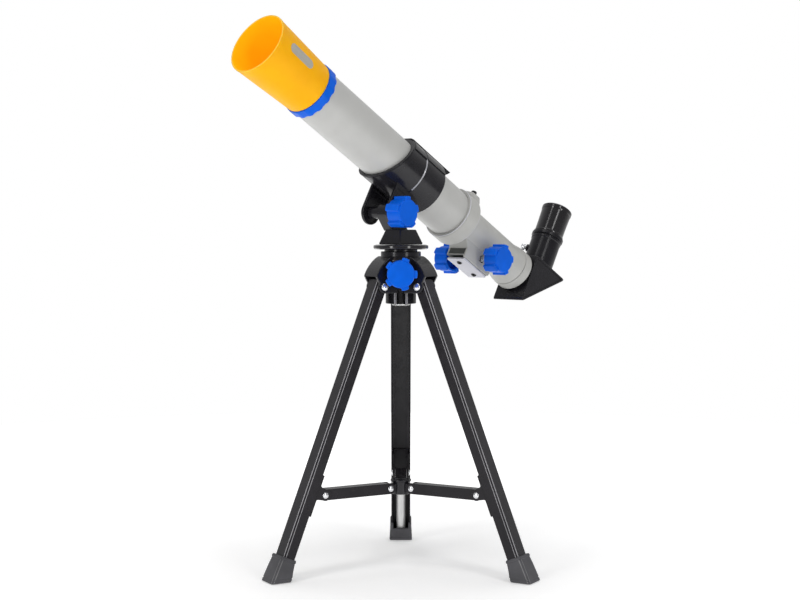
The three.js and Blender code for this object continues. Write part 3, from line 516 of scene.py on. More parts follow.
def rivet(name, node, place, shank, head):
    """A pin along Y with a domed head at each end."""
    reach = extent(node, along_y(place))[1].z
    seat = reach - 1.4
    half = [(shank, seat - 1), (head, seat)] + dome_head(head, seat, reach)[1:]
    other = [(radius, -z) for radius, z in reversed(half)]
    piece(name, node, along_y(place), lathe(other + half, 40))


# ---- Tripod hub ----------------------------------------------------------------------------------

CROWN = {"half": 12.5, "low": 272.0, "lug": 6.0, "reach": 32.5, "start": 17.0}
SLOT_HALF = 9.9


def hub():
    low, high = extent("tripod_hub", TRIPOD)
    top, bottom = high.z, low.z
    shoulder = top - 6.9
    core = lathe([
        (6.2, bottom), (14.2, bottom, 0.8), (14.2, CROWN["low"]), (20.6, shoulder - 4, 2),
        (18.6, shoulder, 0.6), (18.6, shoulder + 4.2, 0.9), (15.3, shoulder + 4.2, 0.3),
        (15.3, top - 0.4, 0.3), (6.2, top - 0.4),
    ])
    rise = shoulder - 0.2 - CROWN["low"]
    span = CROWN["reach"] - CROWN["start"]
    turns = [math.radians(90 - 90 * k / 14) for k in range(15)]
    power = 2 / 1.35  # flatter than a quarter ellipse
    brow = [(CROWN["start"] + span * math.cos(t) ** power, CROWN["low"] + rise * math.sin(t) ** power)
            for t in turns[1:-1]]
    brow = [(CROWN["start"], CROWN["low"] + rise)] + brow + [(CROWN["reach"], CROWN["low"])]
    shells = [core]
    cuts = []
    for name in LEG_NAMES:
        turn, reach = outward(f"leg_{name}_fold")
        pivot = (reach, joint_point(f"leg_{name}_fold").z)
        outline = [(10, CROWN["low"] + rise)] + brow
        outline += arc(*pivot, CROWN["lug"], 30, -90, 12) + [(10, pivot[1] - CROWN["lug"])]
        shells.append(moved(slab(outline, -CROWN["half"], CROWN["half"], 0.9), turn))
        gap = block((15, -SLOT_HALF, bottom - 10), (40, SLOT_HALF, CROWN["low"]), 0, 0.5)
        cuts.append(moved(gap, turn))
    boss_place = along_y(Matrix.Translation((0, 0, joint_point("azimuth_lock_turn").z)))
    shells.append(moved(rod(6.5, -25.7, -12, 0.5), boss_place))
    cuts.append(rod(6.25, bottom - 5, top + 5))
    outer, inner, deep = 6.2, 3.9, -10.0
    window = [(-outer, -16), (outer, -16), (outer, -14.2), (inner, deep), (inner, 0), (-inner, 0),
              (-inner, deep), (-outer, -14.2)]
    cuts.append(extruded(window, bottom - 5, 258))
    shown = piece("hub_moulding", "tripod_hub", TRIPOD, shells, cuts, crease=35)
    # Painted reflection: the window's side walls take the lighter grey that stands for the bright
    # surroundings seen in them.
    second_look(shown, PAINTED_EDGE_HIGHLIGHT, TRIPOD,
                lambda point, _: inner < abs(point.x) < outer and -14.1 < point.y < deep and point.z < 257.9)


def azimuth_lock():
    facing = Matrix.Translation(joint_point("azimuth_lock_turn")) @ Matrix.Rotation(math.pi / 2, 4, "X")
    knob("azimuth_lock_knob_moulding", "azimuth_lock_knob", facing, KNOB_TURN["azimuth"])


# ---- Legs ----------------------------------------------------------------------------------------

def channel_section(inner, outer, half, wall):
    """The leg's section: a channel open inward, with a stepped corner along each outer edge."""
    side = [(inner, -half, 0.3), (outer - 2.2, -half, 0.25), (outer - 1.9, -half + 0.5, 0.2)]
    side += [(outer - 0.6, -half + 1.6, 0.2), (outer, -half + 2.1, 0.25)]
    other = [(x, -y, *rest) for x, y, *rest in reversed(side)]
    lining = [(inner, half - wall, 0.3), (outer - wall - 0.6, half - wall, 0.8)]
    lining += [(outer - wall, half - wall - 1.8, 0.6), (outer - wall, -half + wall + 1.8, 0.6)]
    lining += [(outer - wall - 0.6, -half + wall, 0.8), (inner, -half + wall, 0.3)]
    return rounded(side + other + lining, steps=3)


def ground_line(x):
    """Height on the leg's own Z where a line at x across the leg meets the ground."""
    height = joint_point("leg_rear_fold").z
    return (-height - x * math.sin(LEG_TILT)) / math.cos(LEG_TILT)


def boot_ring(x_low, x_high, half, corner, height):
    """One level of the rubber foot. The height is a number or a function of x."""
    points = rectangle(x_low, x_high, -half, half, corner)
    level = height if callable(height) else (lambda x: height)
    return [(x, y, level(x)) for x, y in points]


def foot(name, place):
    node = f"leg_{name}_foot"
    low, high = extent(node, place)
    top, half = high.z, high.y
    outer, inner, flare = high.x, low.x, 1.6

    def level(share, out, height):
        """share runs from 0 at the top to 1 at the sole; out moves the wall outward."""
        grow = flare * share + out
        return boot_ring(inner + flare - grow, outer - flare + grow, half - 1.0 + share + out, 2.2, height)

    def sole(lift):
        return lambda x: ground_line(x) + lift

    rings = [level(0, -0.9, top), level(0, -0.35, top - 0.05), level(0, 0.0, top - 0.5)]
    rings += [level(0.02, 0.25, top - 1.4), level(0.08, 0.25, top - 2.4), level(0.1, -0.25, top - 3.0)]
    rings += [level(0.5, -0.15, top - 10), level(0.92, 0.0, sole(4.2)), level(0.95, -0.35, sole(3.6))]
    rings += [level(0.96, -0.35, sole(3.1)), level(1.0, 0.0, sole(2.6)), level(1.0, 0.0, sole(0.8))]
    rings += [level(1.0, -0.25, sole(0.2)), level(1.0, -0.9, sole(0.0))]
    side, pocket_floor = 9.8, -275
    pocket = block((-3.9, -side, pocket_floor), (7.7, side, top + 5), 0, 0.6)
    notch = block((-30, -7.6, top - 6.5), (0, 7.6, top + 5), 0, 0.8)
    shown = piece(f"foot_{name}_boot", node, place, loft(rings), [pocket, notch])

    def on_corner_line(point, normal):
        """The first and last facet of each rounded outer corner, painted a lighter grey as highlight lines.
        """
        turn = abs(math.degrees(math.atan2(normal.y, normal.x)))
        at_end = 3 < turn < 14 or 76 < turn < 87
        return at_end and point.z < top - 3.5 and point.x > outer - flare - 3 and abs(point.y) > half - 3.2

    second_look(shown, BOOT_PAINTED_HIGHLIGHT, place, on_corner_line)


def leg(name):
    place = LEGS[name]
    channel = f"leg_{name}_channel"
    low, high = extent(channel, place)
    section = channel_section(low.x, high.x, high.y, 1.3)
    body = extruded(section, low.z, high.z, 0.2, 2)
    pin_hole = moved(rod(2.4, -20, 20), along_y(HERE))
    shown = piece(f"leg_{name}_profile", channel, place, body, [pin_hole], crease=25)
    outer, half, wall = high.x, high.y, 1.3
    second_look(shown, CHANNEL_INSIDE, place,
                lambda point, _: abs(point.y) < half - wall + 0.2 and point.x < outer - wall + 0.2)

    def on_corner_line(point, _):
        """The two narrow facets of each stepped corner, painted a lighter grey as the corner's highlight
        lines.
        """
        first = outer - 2.25 < point.x < outer - 1.75 and abs(point.y) > half - 0.7
        second = outer - 0.75 < point.x < outer - 0.02 and half - 2.1 < abs(point.y) < half - 1.4
        return first or second

    second_look(shown, PAINTED_EDGE_HIGHLIGHT, place, on_corner_line)
    tube_low, tube_high = extent(f"leg_{name}_tube", place)
    radius = tube_high.y
    centre = shifted(place, x=(tube_low.x + tube_high.x) / 2)
    ring = [(radius - 0.8, tube_low.z), (radius, tube_low.z, 0.2), (radius, tube_high.z, 0.2)]
    ring.append((radius - 0.8, tube_high.z))
    piece(f"leg_{name}_inner_tube", f"leg_{name}_tube", centre, lathe(ring, 56))
    foot(name, place)
    bracket(name, place)
    rivet(f"leg_{name}_rivet", f"leg_{name}_pin", pinned_frame(f"leg_{name}_fold"), 2.1, 3.6)


def bracket(name, place):
    """A folded plate inside the channel whose ears carry the arm's outer rivet."""
    node = f"leg_{name}_bracket"
    low, high = extent(node, place)
    ear, wall, half = 5.0, 1.0, 7.9
    back = high.x
    low_edge = extent(f"leg_{name}_channel", place)[0].x
    reach = extent(f"spreader_arm_{name}", ARMS[name])[1].x - ear
    outer = ARMS[name] @ Vector((reach, 0, 0))
    pivot = place.inverted() @ outer
    strip = low_edge - 2.6
    cheek = [(back, high.z, 0.8), (strip, high.z, 0.8), (strip, pivot.z + 6.2, 2.0)]
    cheek += arc(pivot.x, pivot.z, ear, 80, 280, 20) + [(strip, pivot.z - 6.2, 2.0)]
    cheek += [(strip, low.z, 0.8), (back, low.z, 0.8)]
    outline = rounded(cheek)
    shells = [slab(outline, -half, -half + wall, 0.25), slab(outline, half - wall, half, 0.25)]
    shells.append(block((back - wall, -half + 0.2, low.z), (back, half - 0.2, high.z), 0.2, 0.2))
    for side in (-1, 1):
        head = lathe([(0, -0.4), (2.9, -0.4)] + dome_head(2.9, 0, 1.4), 36)
        turn = Matrix.Rotation(-side * math.pi / 2, 4, "X")
        shells.append(moved(head, Matrix.Translation((pivot.x, side * half, pivot.z)) @ turn))
    shown = piece(f"{node}_plate", node, place, shells)
    second_look(shown, LOOKS["steel"], place, lambda point, _: abs(point.y) > half + 0.05)


# ---- Spreader ------------------------------------------------------------------------------------

def spreader():
    low, high = extent("spreader_hub", TRIPOD)
    middle = joint_point("arm_rear_fold").z
    place = shifted(TRIPOD, z=middle)
    bottom, top = low.z - middle, high.z - middle
    core, flange = 8.2, 9.8
    shells = [lathe([
        (0, bottom), (core, bottom, 1.0), (core, top - 1.8, 0.4), (flange, top - 1.8, 0.5),
        (flange, top, 0.7), (5.5, top), (5.0, top - 0.4, 0.2), (0, top - 0.4),
    ], 72)]
    for name in LEG_NAMES:
        turn, reach = outward(f"arm_{name}_fold")
        tab = [(2, 3.7)] + arc(reach, 0, 3.7, 90, -90, 14) + [(2, -3.7)]
        shells.append(moved(slab(tab, -3.9, 3.9, 0.4), turn))
    piece("spreader_hub_moulding", "spreader_hub", place, shells)
    for name in LEG_NAMES:
        spreader_arm(name)
        rivet(f"spreader_rivet_{name}", f"spreader_pin_{name}", ARMS[name], 1.5, 2.9)


def spreader_arm(name):
    node = f"spreader_arm_{name}"
    high = extent(node, ARMS[name])[1]
    end = 5.0
    reach = high.x - end
    half, wall = high.y, 1.2
    outline = arc(reach, 0, end, -90, 90, 14) + arc(0, 0, end, 90, 270, 14)
    outer = slab(outline, -half, half, 0.45)
    trough = block((-20, -half + wall, -20), (reach + 20, half - wall, 3.9), 0, 0.3)
    near_end = block((-20, -half + wall, -20), (2.5, half - wall, 20), 0, 0.3)
    far_end = block((reach - 2.5, -half + wall, -20), (reach + 20, half - wall, 20), 0, 0.3)
    holes = [moved(rod(1.8, -20, 20, sides=24), along_y(Matrix.Translation((x, 0, 0)))) for x in (0, reach)]
    piece(f"{node}_channel", node, ARMS[name], outer, [trough, near_end, far_end, *holes], crease=30)


# ---- Mount ---------------------------------------------------------------------------------------

POST = {"foot_x": 15.5, "foot_y": 13.5, "top_x": 11.0, "top_y": 9.5, "shoulder": 315.0, "head": 9.0}


def turntable():
    low, high = extent("turntable", TRIPOD)
    radius, bottom, top = high.x, low.z, high.z
    spindle = 5.9
    piece("turntable_disc", "turntable", TRIPOD, lathe([
        (0, bottom), (spindle, bottom, 0.8), (spindle, top - 3.2, 0.6), (16.4, top - 3.2),
        (17.4, top - 4.2, 0.4), (radius - 1.4, top - 4.2, 0.5), (radius, top - 3.2, 0.8),
        (radius, top - 0.7, 0.7), (radius - 2.2, top, 0.4), (0, top),
    ], 128))
    clip_low, clip_high = extent("spindle_clip", TRIPOD)
    clip = [(6.0, clip_low.z), (clip_high.x, clip_low.z, 0.3), (clip_high.x, clip_high.z, 0.3)]
    piece("spindle_clip_ring", "spindle_clip", TRIPOD, lathe(clip + [(6.0, clip_high.z)], 64),
          look=LOOKS["bare_aluminium"])


def mount_post():
    base = extent("mount_post", MOUNT)[0].z
    pivot = MOUNT.inverted() @ joint_point("altitude_tilt")

    def level(share, move, z):
        x = POST["foot_x"] + (POST["top_x"] - POST["foot_x"]) * share - move
        y = POST["foot_y"] + (POST["top_y"] - POST["foot_y"]) * share - move
        return [(px, py, z) for px, py in rectangle(-x, x, -y, y, 1.1)]

    shoulder = POST["shoulder"]
    rings = [level(0, 0.3, base), level(0, 0.0, base + 0.3), level(0, 0.0, base + 1.6)]
    rings.append(level(0.06, 0, base + 2.0))
    rings += [level(0.97, 0, shoulder - 0.6), level(1, 0.15, shoulder - 0.2), level(1, 0.7, shoulder)]
    outline = [(-POST["top_x"] + 1, shoulder - 1)]
    outline += arc(pivot.x, pivot.z, POST["head"], 140, -30, 24) + [(pivot.x - 1, shoulder - 1)]
    upright = slab(outline, -12.3, 0.3, 0.7)
    hole = moved(rod(2.3, -40, 40, sides=32), along_y(Matrix.Translation((pivot.x, 0, pivot.z))))
    piece("post_moulding", "mount_post", MOUNT, [loft(rings), upright], [hole], crease=30)
    slope = (POST["foot_y"] - POST["top_y"]) / (shoulder - base)
    marks = []
    for x, half in ((-1.4, 0.35), (1.3, 0.8), (4.0, 0.35)):
        at = Matrix.Translation((x, POST["foot_y"] - slope * 3.0, base + 3.0))
        marks.append(moved(block((-half, -0.3, -0.5), (half, 0.12, 0.5)), at))
    shown = mesh_object("post_marks", marks[0])
    combine(shown, marks[1:], "UNION")
    finish_extra(shown, MOUNT, MARK_GREY, "mount")


def tilt_hardware():
    place = along_y(shifted(MOUNT, *(MOUNT.inverted() @ joint_point("altitude_tilt"))))
    low, high = extent("altitude_spacer", place)
    radius = 5.7
    piece("altitude_spacer_bush", "altitude_spacer", place, lathe([
        (2.3, low.z), (radius, low.z, 0.3), (radius, high.z, 0.3), (2.3, high.z),
    ], 64))
    low, high = extent("altitude_bolt", place)
    piece("altitude_bolt_turned", "altitude_bolt", place, lathe([
        (0, low.z), (4.2, low.z, 0.6), (4.2, low.z + 2.8, 0.2), (2, low.z + 2.8), (2, high.z), (0, high.z),
    ], 48))
    back = extent("altitude_knob", place)[0].z
    knob("altitude_knob_moulding", "altitude_knob", shifted(place, z=back), phase=KNOB_TURN["altitude"])


# ---- Telescope -----------------------------------------------------------------------------------

def dew_shield():
    low, high = extent("dew_shield", TUBE_LINE)
    rear, front, radius = low.z, high.z, high.y
    small, wall = 25.0, 1.3
    shown = piece("dew_shield_moulding", "dew_shield", TUBE_LINE, lathe([
        (small - wall, rear), (small, rear, 0.3), (radius - 0.3, front - 2.8), (radius, front - 2.2, 0.3),
        (radius, front, 0.5), (radius - wall, front, 0.4), (radius - wall - 0.25, front - 3, 0.3),
    ], 160))
    slope = (radius - small) / (front - rear)
    # Painted light: the inner wall takes the deeper, glowing orange.
    second_look(shown, ORANGE_INSIDE_PAINTED_GLOW, TUBE_LINE,
                lambda point, _: point.xy.length < small + slope * (point.z - rear) - wall / 2)
    # Painted highlight: the front rim takes the lighter orange.
    second_look(shown, RIM_PAINTED_HIGHLIGHT, TUBE_LINE, lambda point, _: point.z > front - 0.45)
    badge(rear, front, small, radius)


BADGE = {"station": 176.8, "turn": 10.0, "length": 31.0, "half": 4.4, "thick": 0.25}


def badge(rear, front, small, large):
    """A plain grey pill with a raised border, stuck on the shield's near side."""
    half_length = BADGE["length"] / 2 - BADGE["half"]
    outline = arc(half_length, 0, BADGE["half"], -90, 90, 18)
    outline += arc(-half_length, 0, BADGE["half"], 90, 270, 18)

    def on_shield(x, y, lift):
        station = BADGE["station"] + x
        radius = small + (large - small) * (station - rear) / (front - rear) + lift
        turn = math.radians(BADGE["turn"]) + y / radius
        return (-radius * math.sin(turn), radius * math.cos(turn), station)

    def ring(share, lift):
        return [on_shield(x * share, y * share, lift) for x, y in outline]

    thick = BADGE["thick"]
    rings = [ring(share, -0.15) for share in (0.05, 0.3, 0.6, 0.8, 1.0)]
    rings += [ring(1.0, thick * 0.7), ring(0.97, thick), ring(0.9, thick), ring(0.88, thick * 0.6)]
    rings += [ring(share, thick * 0.6) for share in (0.6, 0.3, 0.05)]
    shown = mesh_object("dew_shield_badge", loft(rings))
    finish_extra(shown, TUBE_LINE, BADGE_GREY, "dew_shield")


def lens_cell():
    low, high = extent("lens_cell", TUBE_LINE)
    rear, front, radius = low.z, high.z, high.y
    step = rear + 9.4
    bumps = 16

    def scallop(turn, r, z):
        """Raised pads round the grip ring, wider than the dips between them."""
        if r < radius - 0.9 or z > step - 0.5:
            return r, z
        pad = 0.5 + 0.5 * math.tanh(2.0 * math.cos(bumps * turn))
        back = 0.8 * (1 - pad) if z < rear + 1.5 else 0.0
        return r - 0.3 * (1 - pad), z + back

    piece("lens_cell_grip", "lens_cell", TUBE_LINE, lathe([
        (24.3, rear), (radius - 0.5, rear), (radius, rear + 0.6, 0.4), (radius, rear + 4), (radius, step - 1),
        (radius - 0.4, step - 0.1, 0.3), (23.4, step), (23.4, front, 0.3), (21.6, front),
        (21.6, 141), (19.5, 141), (19.5, 134.3), (24.3, 134.3),
    ], 264, scallop), crease=30)
    lens("objective_front_element", "objective_front_lens", 1.2, 1.0)
    lens("objective_rear_element", "objective_rear_lens", -1.2, -0.3)
    ring_low, ring_high = extent("lens_retaining_ring", TUBE_LINE)
    ring = [(19.5, ring_low.z), (ring_high.y, ring_low.z, 0.2), (ring_high.y, ring_high.z, 0.3)]
    notches = [block((-30, -1, ring_high.z - 0.8), (30, 1, ring_high.z + 2))]
    ring.append((19.5, ring_high.z, 0.4))
    piece("retaining_ring", "lens_retaining_ring", TUBE_LINE, lathe(ring, 96), notches)


def lens(name, node, front_bulge, rear_bulge):
    """A lens about the tube's axis. A bulge is how far its middle stands past its rim."""
    low, high = extent(node, TUBE_LINE)
    radius = high.y
    rim_rear = low.z + max(rear_bulge, 0)
    rim_front = high.z - max(front_bulge, 0)
    shares = [k / 10 for k in range(11)]
    profile = [(radius * share, rim_rear - rear_bulge * (1 - share ** 2)) for share in shares]
    profile += [(radius * share, rim_front + front_bulge * (1 - share ** 2)) for share in reversed(shares)]
    piece(name, node, TUBE_LINE, lathe(profile, 96))


def main_tube():
    low, high = extent("main_tube", TUBE_LINE)
    radius, wall = high.y, 1.1
    shown = piece("main_tube_rolled", "main_tube", TUBE_LINE, lathe([
        (radius - wall, low.z), (radius, low.z, 0.2), (radius, high.z, 0.2), (radius - wall, high.z),
    ], 160))
    second_look(shown, MATT_BLACK, TUBE_LINE, lambda point, _: point.xy.length < radius - wall / 2)


CRADLE = {"inner": 24.35, "radius": 27.4, "rear_radius": 28.1, "rear": -35.3, "step": -5.6}
CRADLE_FRONT = {"middle": 21.0, "slope": -0.42, "nominal": 30.0}  # the front edge leans back at the top
SADDLE = {"low_turn": 29.0, "inner": 26.6, "rear": -34.7, "rear_radius": 28.9, "front_radius": 28.5}
CHEEK = {"inside": 14.0, "outside": 17.0, "round": 11.3, "drop": 47.0, "top": 20.6, "flare": 5.7}
RAIL = {"rear": -55.0, "front": 6.0, "half": 9.0, "top": 29.4, "thick": 4.3}


def cradle_front(height):
    """Station of the ring's front edge at a height over the tube's axis."""
    return CRADLE_FRONT["middle"] + CRADLE_FRONT["slope"] * height


def cradle_ring():
    inner, outer, thick = CRADLE["inner"], CRADLE["radius"], CRADLE["rear_radius"]
    step, nominal = CRADLE["step"], CRADLE_FRONT["nominal"]

    def slanted(turn, r, z):
        """Moves the ring's front edge back towards the top."""
        if z <= step + 1:
            return r, z
        share = (z - step - 1) / (nominal - step - 1)
        return r, step + 1 + share * (cradle_front(-r * math.cos(turn)) - step - 1)

    return moved(lathe([
        (inner, CRADLE["rear"]), (thick, CRADLE["rear"], 0.8), (thick, step - 0.6), (outer, step + 0.3),
        (outer, step + 1.5), (outer, nominal - 3.4), (outer, nominal - 2.0, 0.3),
        (outer - 0.5, nominal - 1.7, 0.2), (outer - 0.5, nominal - 1.3, 0.2),
        (outer + 0.15, nominal - 1.0, 0.3), (outer + 0.15, nominal, 0.6), (inner, nominal, 0.3),
    ], 160, slanted), along_x(HERE))


def saddle(radius, rear, front):
    """A thin plate over the ring's upper part. front is a station, or a function of height that gives one."""
    low, inner = SADDLE["low_turn"], SADDLE["inner"]
    outline = arc(0, 0, radius, low, 180 - low, 40) + arc(0, 0, inner, 180 - low, low, 40)
    end = front if callable(front) else (lambda height: front)
    shrunk = inset(outline, 0.3)
    return loft([
        [(rear, y, z) for y, z in shrunk],
        [(rear + 0.3, y, z) for y, z in outline],
        [(end(z) - 0.3, y, z) for y, z in outline],
        [(end(z), y, z) for y, z in shrunk],
    ])


def rail():
    """A flat plate over the ring that runs back over the tube, on a narrower foot."""
    rear, front, half, top, thick = (RAIL[key] for key in ("rear", "front", "half", "top", "thick"))
    foot_rear, foot_front, foot_low = CRADLE["rear"] + 1, front - 1, 22.8
    foot_outline = [
        (foot_rear, foot_low), (foot_front, foot_low), (foot_front, top - 1), (foot_rear, top - 1),
    ]
    side = rounded([
        (rear, top, 0.4), (rear + 3.6, top - thick, 0.6), (front, top - thick, 0.3), (front, top, 0.6),
    ])
    lip = rounded([
        (cradle_front(top) - 4, top - thick), (cradle_front(top) - 0.6, top - thick - 0.6, 0.5),
        (cradle_front(top) + 0.2, top - 0.9, 0.6), (cradle_front(top) - 2.5, top - 0.2, 0.8),
        (front - 1, top - 0.2),
    ])
    return [
        slab(foot_outline, -half + 1.2, half - 1.2), slab(side, -half, half, 0.5),
        slab(lip, -half + 0.3, half - 0.3, 0.4),
    ]


def cheek_outline(margin, top):
    """The cheek's side view, drawn inward by a margin. Its rear edge flares towards the ring."""
    round_part, drop, flare = CHEEK["round"] - margin, CHEEK["drop"], CHEEK["flare"]
    flare_low = -drop + 3
    share = (top - flare_low) / (-CHEEK["top"] - flare_low)
    return [(round_part, top)] + arc(0, -drop, round_part, 0, -180, 28) + [
        (-round_part, flare_low), (-round_part - flare * share, top),
    ]


def cradle():
    """The ring round the tube, its two cheeks below and the rail on top, as one moulding."""
    inside, outside, drop = CHEEK["inside"], CHEEK["outside"], CHEEK["drop"]
    outline = cheek_outline(0, -CHEEK["top"])
    shells = [
        cradle_ring(), slab(outline, -outside, -inside, 0.6), slab(outline, inside, outside, 0.6),
        saddle(SADDLE["rear_radius"], SADDLE["rear"], CRADLE["step"] - 0.6),
        saddle(SADDLE["front_radius"], CRADLE["step"] - 2, lambda height: cradle_front(height) - 2.4),
        *rail(),
    ]
    panel = rounded([(*point, 0.8) for point in cheek_outline(2.0, -26.0)])
    cuts = [
        moved(rod(CRADLE["inner"], -60, 50, sides=160), along_x(HERE)),
        slab(panel, -inside - 0.9, -inside + 5), slab(panel, outside - 0.5, outside + 5),
        moved(rod(2.3, -40, 40, sides=32), along_y(Matrix.Translation((0, 0, -drop)))),
    ]
    shown = piece("cradle_moulding", "cradle", SCOPE, shells, cuts, crease=32)
    step = CRADLE["step"]

    def on_seam(point, _):
        """The chamfer between the ring's two halves, on the side away from the post, painted a lighter grey
        as the seam's highlight.
        """
        turn = math.degrees(math.atan2(point.z, point.y))
        on_side = -46 < turn < 29 and point.yz.length > CRADLE["radius"] - 0.2
        return on_side and step - 0.6 < point.x < step + 0.3

    second_look(shown, PAINTED_SEAM_HIGHLIGHT, SCOPE, on_seam)


def rear_cell():
    low, high = extent("rear_cell", TUBE_LINE)
    rear, front, radius = low.z, high.z, high.y
    shown = piece("rear_cell_moulding", "rear_cell", TUBE_LINE, lathe([
        (19.5, rear), (radius - 3.2, rear, 0.3), (radius - 1.6, rear + 0.6, 0.4), (radius, rear + 2.6, 0.6),
        (radius, front - 2.2, 0.2), (radius - 0.35, front - 1.9, 0.15), (radius - 0.35, front - 1.4, 0.15),
        (radius, front - 1.1, 0.2), (radius, front, 0.7), (24.25, front), (24.25, -90), (19.5, -90),
    ], 160))
    # Painted highlight: the front rim's rounding and the rear chamfer take the pale plastic as light lines.
    second_look(shown, LOOKS["pale_plastic"], TUBE_LINE,
                lambda point, normal: point.z > front - 0.9 and normal.z > 0.1 and normal.xy.length > 0.1
                or rear + 2.0 < point.z < rear + 3.2 and -0.9 < normal.z < -0.05)
    finder_base()


def finder_base():
    """A rounded lump moulded behind the cell's top, with a small screw standing in it."""
    low, high = extent("finder_base", SCOPE)
    top, rear, front, half = high.z, low.x, high.x, high.y
    outline = rounded([
        (rear, 20.5), (rear, top - 5.2, 1.2), (rear + 3, top, 2.6), (rear + 14, top, 3.0), (front, 26.6, 2.0),
        (front, 25.5), (front - 14.5, 25.5), (front - 14.5, 20.5),
    ])
    station = joint_station("finder_screw_turn")
    hole = moved(rod(1.6, 15, top + 5, sides=24), Matrix.Translation((station, 0, 0)))
    piece("finder_base_moulding", "finder_base", SCOPE, slab(outline, -half, half, 1.2), [hole])
    place = shifted(SCOPE, x=station)
    low, high = extent("finder_screw", place)
    head = high.z - 5.4
    knurls = 20

    def knurl(turn, r, z):
        return (r - 0.12 + 0.12 * math.cos(knurls * turn), z) if r > 2.5 and z > head else (r, z)

    piece("finder_screw_turned", "finder_screw", place, lathe([
        (0, low.z), (1.3, low.z, 0.3), (1.3, head), (2.8, head, 0.3), (2.8, high.z - 0.6), (2.2, high.z, 0.5),
        (0, high.z - 0.3),
    ], 80, knurl))


def joint_station(name):
    """How far forward along the tube a joint's point is."""
    return (SCOPE.inverted() @ joint_point(name)).x


def focuser():
    low, high = extent("focuser_housing", SCOPE)
    radius, rear, front, bottom = high.z, low.x, high.x, low.z
    flared = radius + 1.7
    tube = moved(lathe([
        (15.8, rear), (flared - 0.4, rear, 0.3), (flared, rear + 0.6, 0.4), (flared, rear + 3.5, 1.5),
        (radius, rear + 13, 4), (radius, front), (15.8, front),
    ], 128), along_x(HERE))
    station = joint_station("focus_turn")
    shaft_up = -21.5
    block_front, block_rear, half = -110.0, -152.0, 12.0
    side = rounded([
        (block_rear, -13), (block_rear, bottom + 1.5, 1.5), (block_rear + 1.5, bottom, 1),
        (block_front - 1, bottom, 1.0), (block_front, bottom + 1, 1), (block_front, -22, 2.0),
        (block_front + 7, -14),
    ])
    body = slab(side, -half, half, 0.8)
    shaft_hole = moved(rod(3.9, -30, 30, sides=40), along_y(Matrix.Translation((station, 0, shaft_up))))
    window = block((station - 11.5, half - 1.6, -25.5), (station - 5.2, half + 5, -19.0), 0, 0.8)
    chamber = block((station - 7, -7, bottom - 2), (station + 7, 7, -12))
    rack_slot = block((rear - 5, -3.6, -17.6), (front + 5, 3.6, -12))
    bore = moved(rod(15.8, rear - 5, front + 5, sides=128), along_x(HERE))
    slit = block((block_front - 7.5, -half - 2, bottom - 1), (block_front + 2, half - 2.0, bottom + 1.8))
    recess = block((block_front - 1.0, -half + 1.4, bottom + 2.8), (block_front + 5, half - 1.6, -22.5))
    shown = piece("focuser_moulding", "focuser_housing", SCOPE, [tube, body],
                  [bore, rack_slot, chamber, shaft_hole, window, slit, recess], crease=32)

    def in_recess(point, _):
        along = block_front - 7.6 < point.x < block_front - 0.9
        return along and bottom - 1 < point.z < -22.4 and abs(point.y) < half - 1.5

    # Painted shade: the recess in the block's front takes a dark grey.
    second_look(shown, SHADE_GREY, SCOPE, in_recess)
    cover_plate()
    focus_drive(station, shaft_up)
    draw_tube()


def cover_plate():
    low, high = extent("pinion_cover", SCOPE)
    plate = extruded(rectangle(low.x, high.x, low.y, high.y, 1.6), low.z, high.z, 0.4)
    stations = []
    for number in (1, 2):
        screw_low, screw_high = extent(f"pinion_cover_screw_{number}", SCOPE)
        stations.append((screw_low.x + screw_high.x) / 2)
    holes = [
        moved(rod(2.7, low.z - 5, high.z + 5, sides=40), Matrix.Translation((x, 0, 0))) for x in stations
    ]
    piece("pinion_cover_plate", "pinion_cover", SCOPE, plate, holes)
    for number, x in zip((1, 2), stations):
        node = f"pinion_cover_screw_{number}"
        place = shifted(SCOPE, x=x)
        screw_low, screw_high = extent(node, place)
        face, head_radius = low.z - 1.7, 2.6
        dome = [(radius, -z) for radius, z in reversed(dome_head(head_radius, -low.z, -face))]
        shank = [(head_radius, high.z), (1.1, high.z), (1.1, screw_high.z), (0, screw_high.z)]
        head = lathe(dome + shank, 40)
        arms = [
            block((-1.3, -0.35, face - 1), (1.3, 0.35, face + 0.8)),
            block((-0.35, -1.3, face - 1), (0.35, 1.3, face + 0.8)),
        ]
        piece(f"cover_screw_{number}", node, place, head, arms, look=SCREW_BLACK)


def focus_drive(station, up):
    axle = along_y(shifted(SCOPE, x=station, z=up))
    low, high = extent("pinion_shaft", axle)
    teeth = 16

    def gear(turn, r, z):
        return (r - 0.4 + 0.4 * math.cos(teeth * turn), z) if r > 3.5 else (r, z)

    piece("pinion_shaft_turned", "pinion_shaft", axle, lathe([
        (0, low.z), (3, low.z, 0.5), (3, -5), (4.1, -5), (4.1, 5), (3, 5), (3, high.z, 0.5), (0, high.z),
    ], 96, gear))
    near = extent("focus_knob_right", axle)[0].z
    far = extent("focus_knob_left", axle)[1].z
    flipped = shifted(axle, z=far) @ Matrix.Rotation(math.pi, 4, "X")
    turn = KNOB_TURN["focus"]
    knob("focus_knob_right_moulding", "focus_knob_right", shifted(axle, z=near), turn, shaft=3.1)
    knob("focus_knob_left_moulding", "focus_knob_left", flipped, -turn, shaft=3.1)


def draw_tube():
    low, high = extent("draw_tube", TUBE_LINE)
    radius = high.y
    rear, front = low.z, high.z
    flange = -187.9
    piece("draw_tube_turned", "draw_tube", TUBE_LINE, lathe([
        (12.6, rear), (radius - 1.6, rear, 0.3), (radius, rear + 1.4, 0.8), (radius, flange - 0.6, 0.3),
        (radius - 0.5, flange), (15.4, flange, 0.2), (15.4, front, 0.3), (13.4, front), (13.4, -182),
        (12.6, -182),
    ], 128))


# ---- Diagonal and eyepiece -----------------------------------------------------------------------

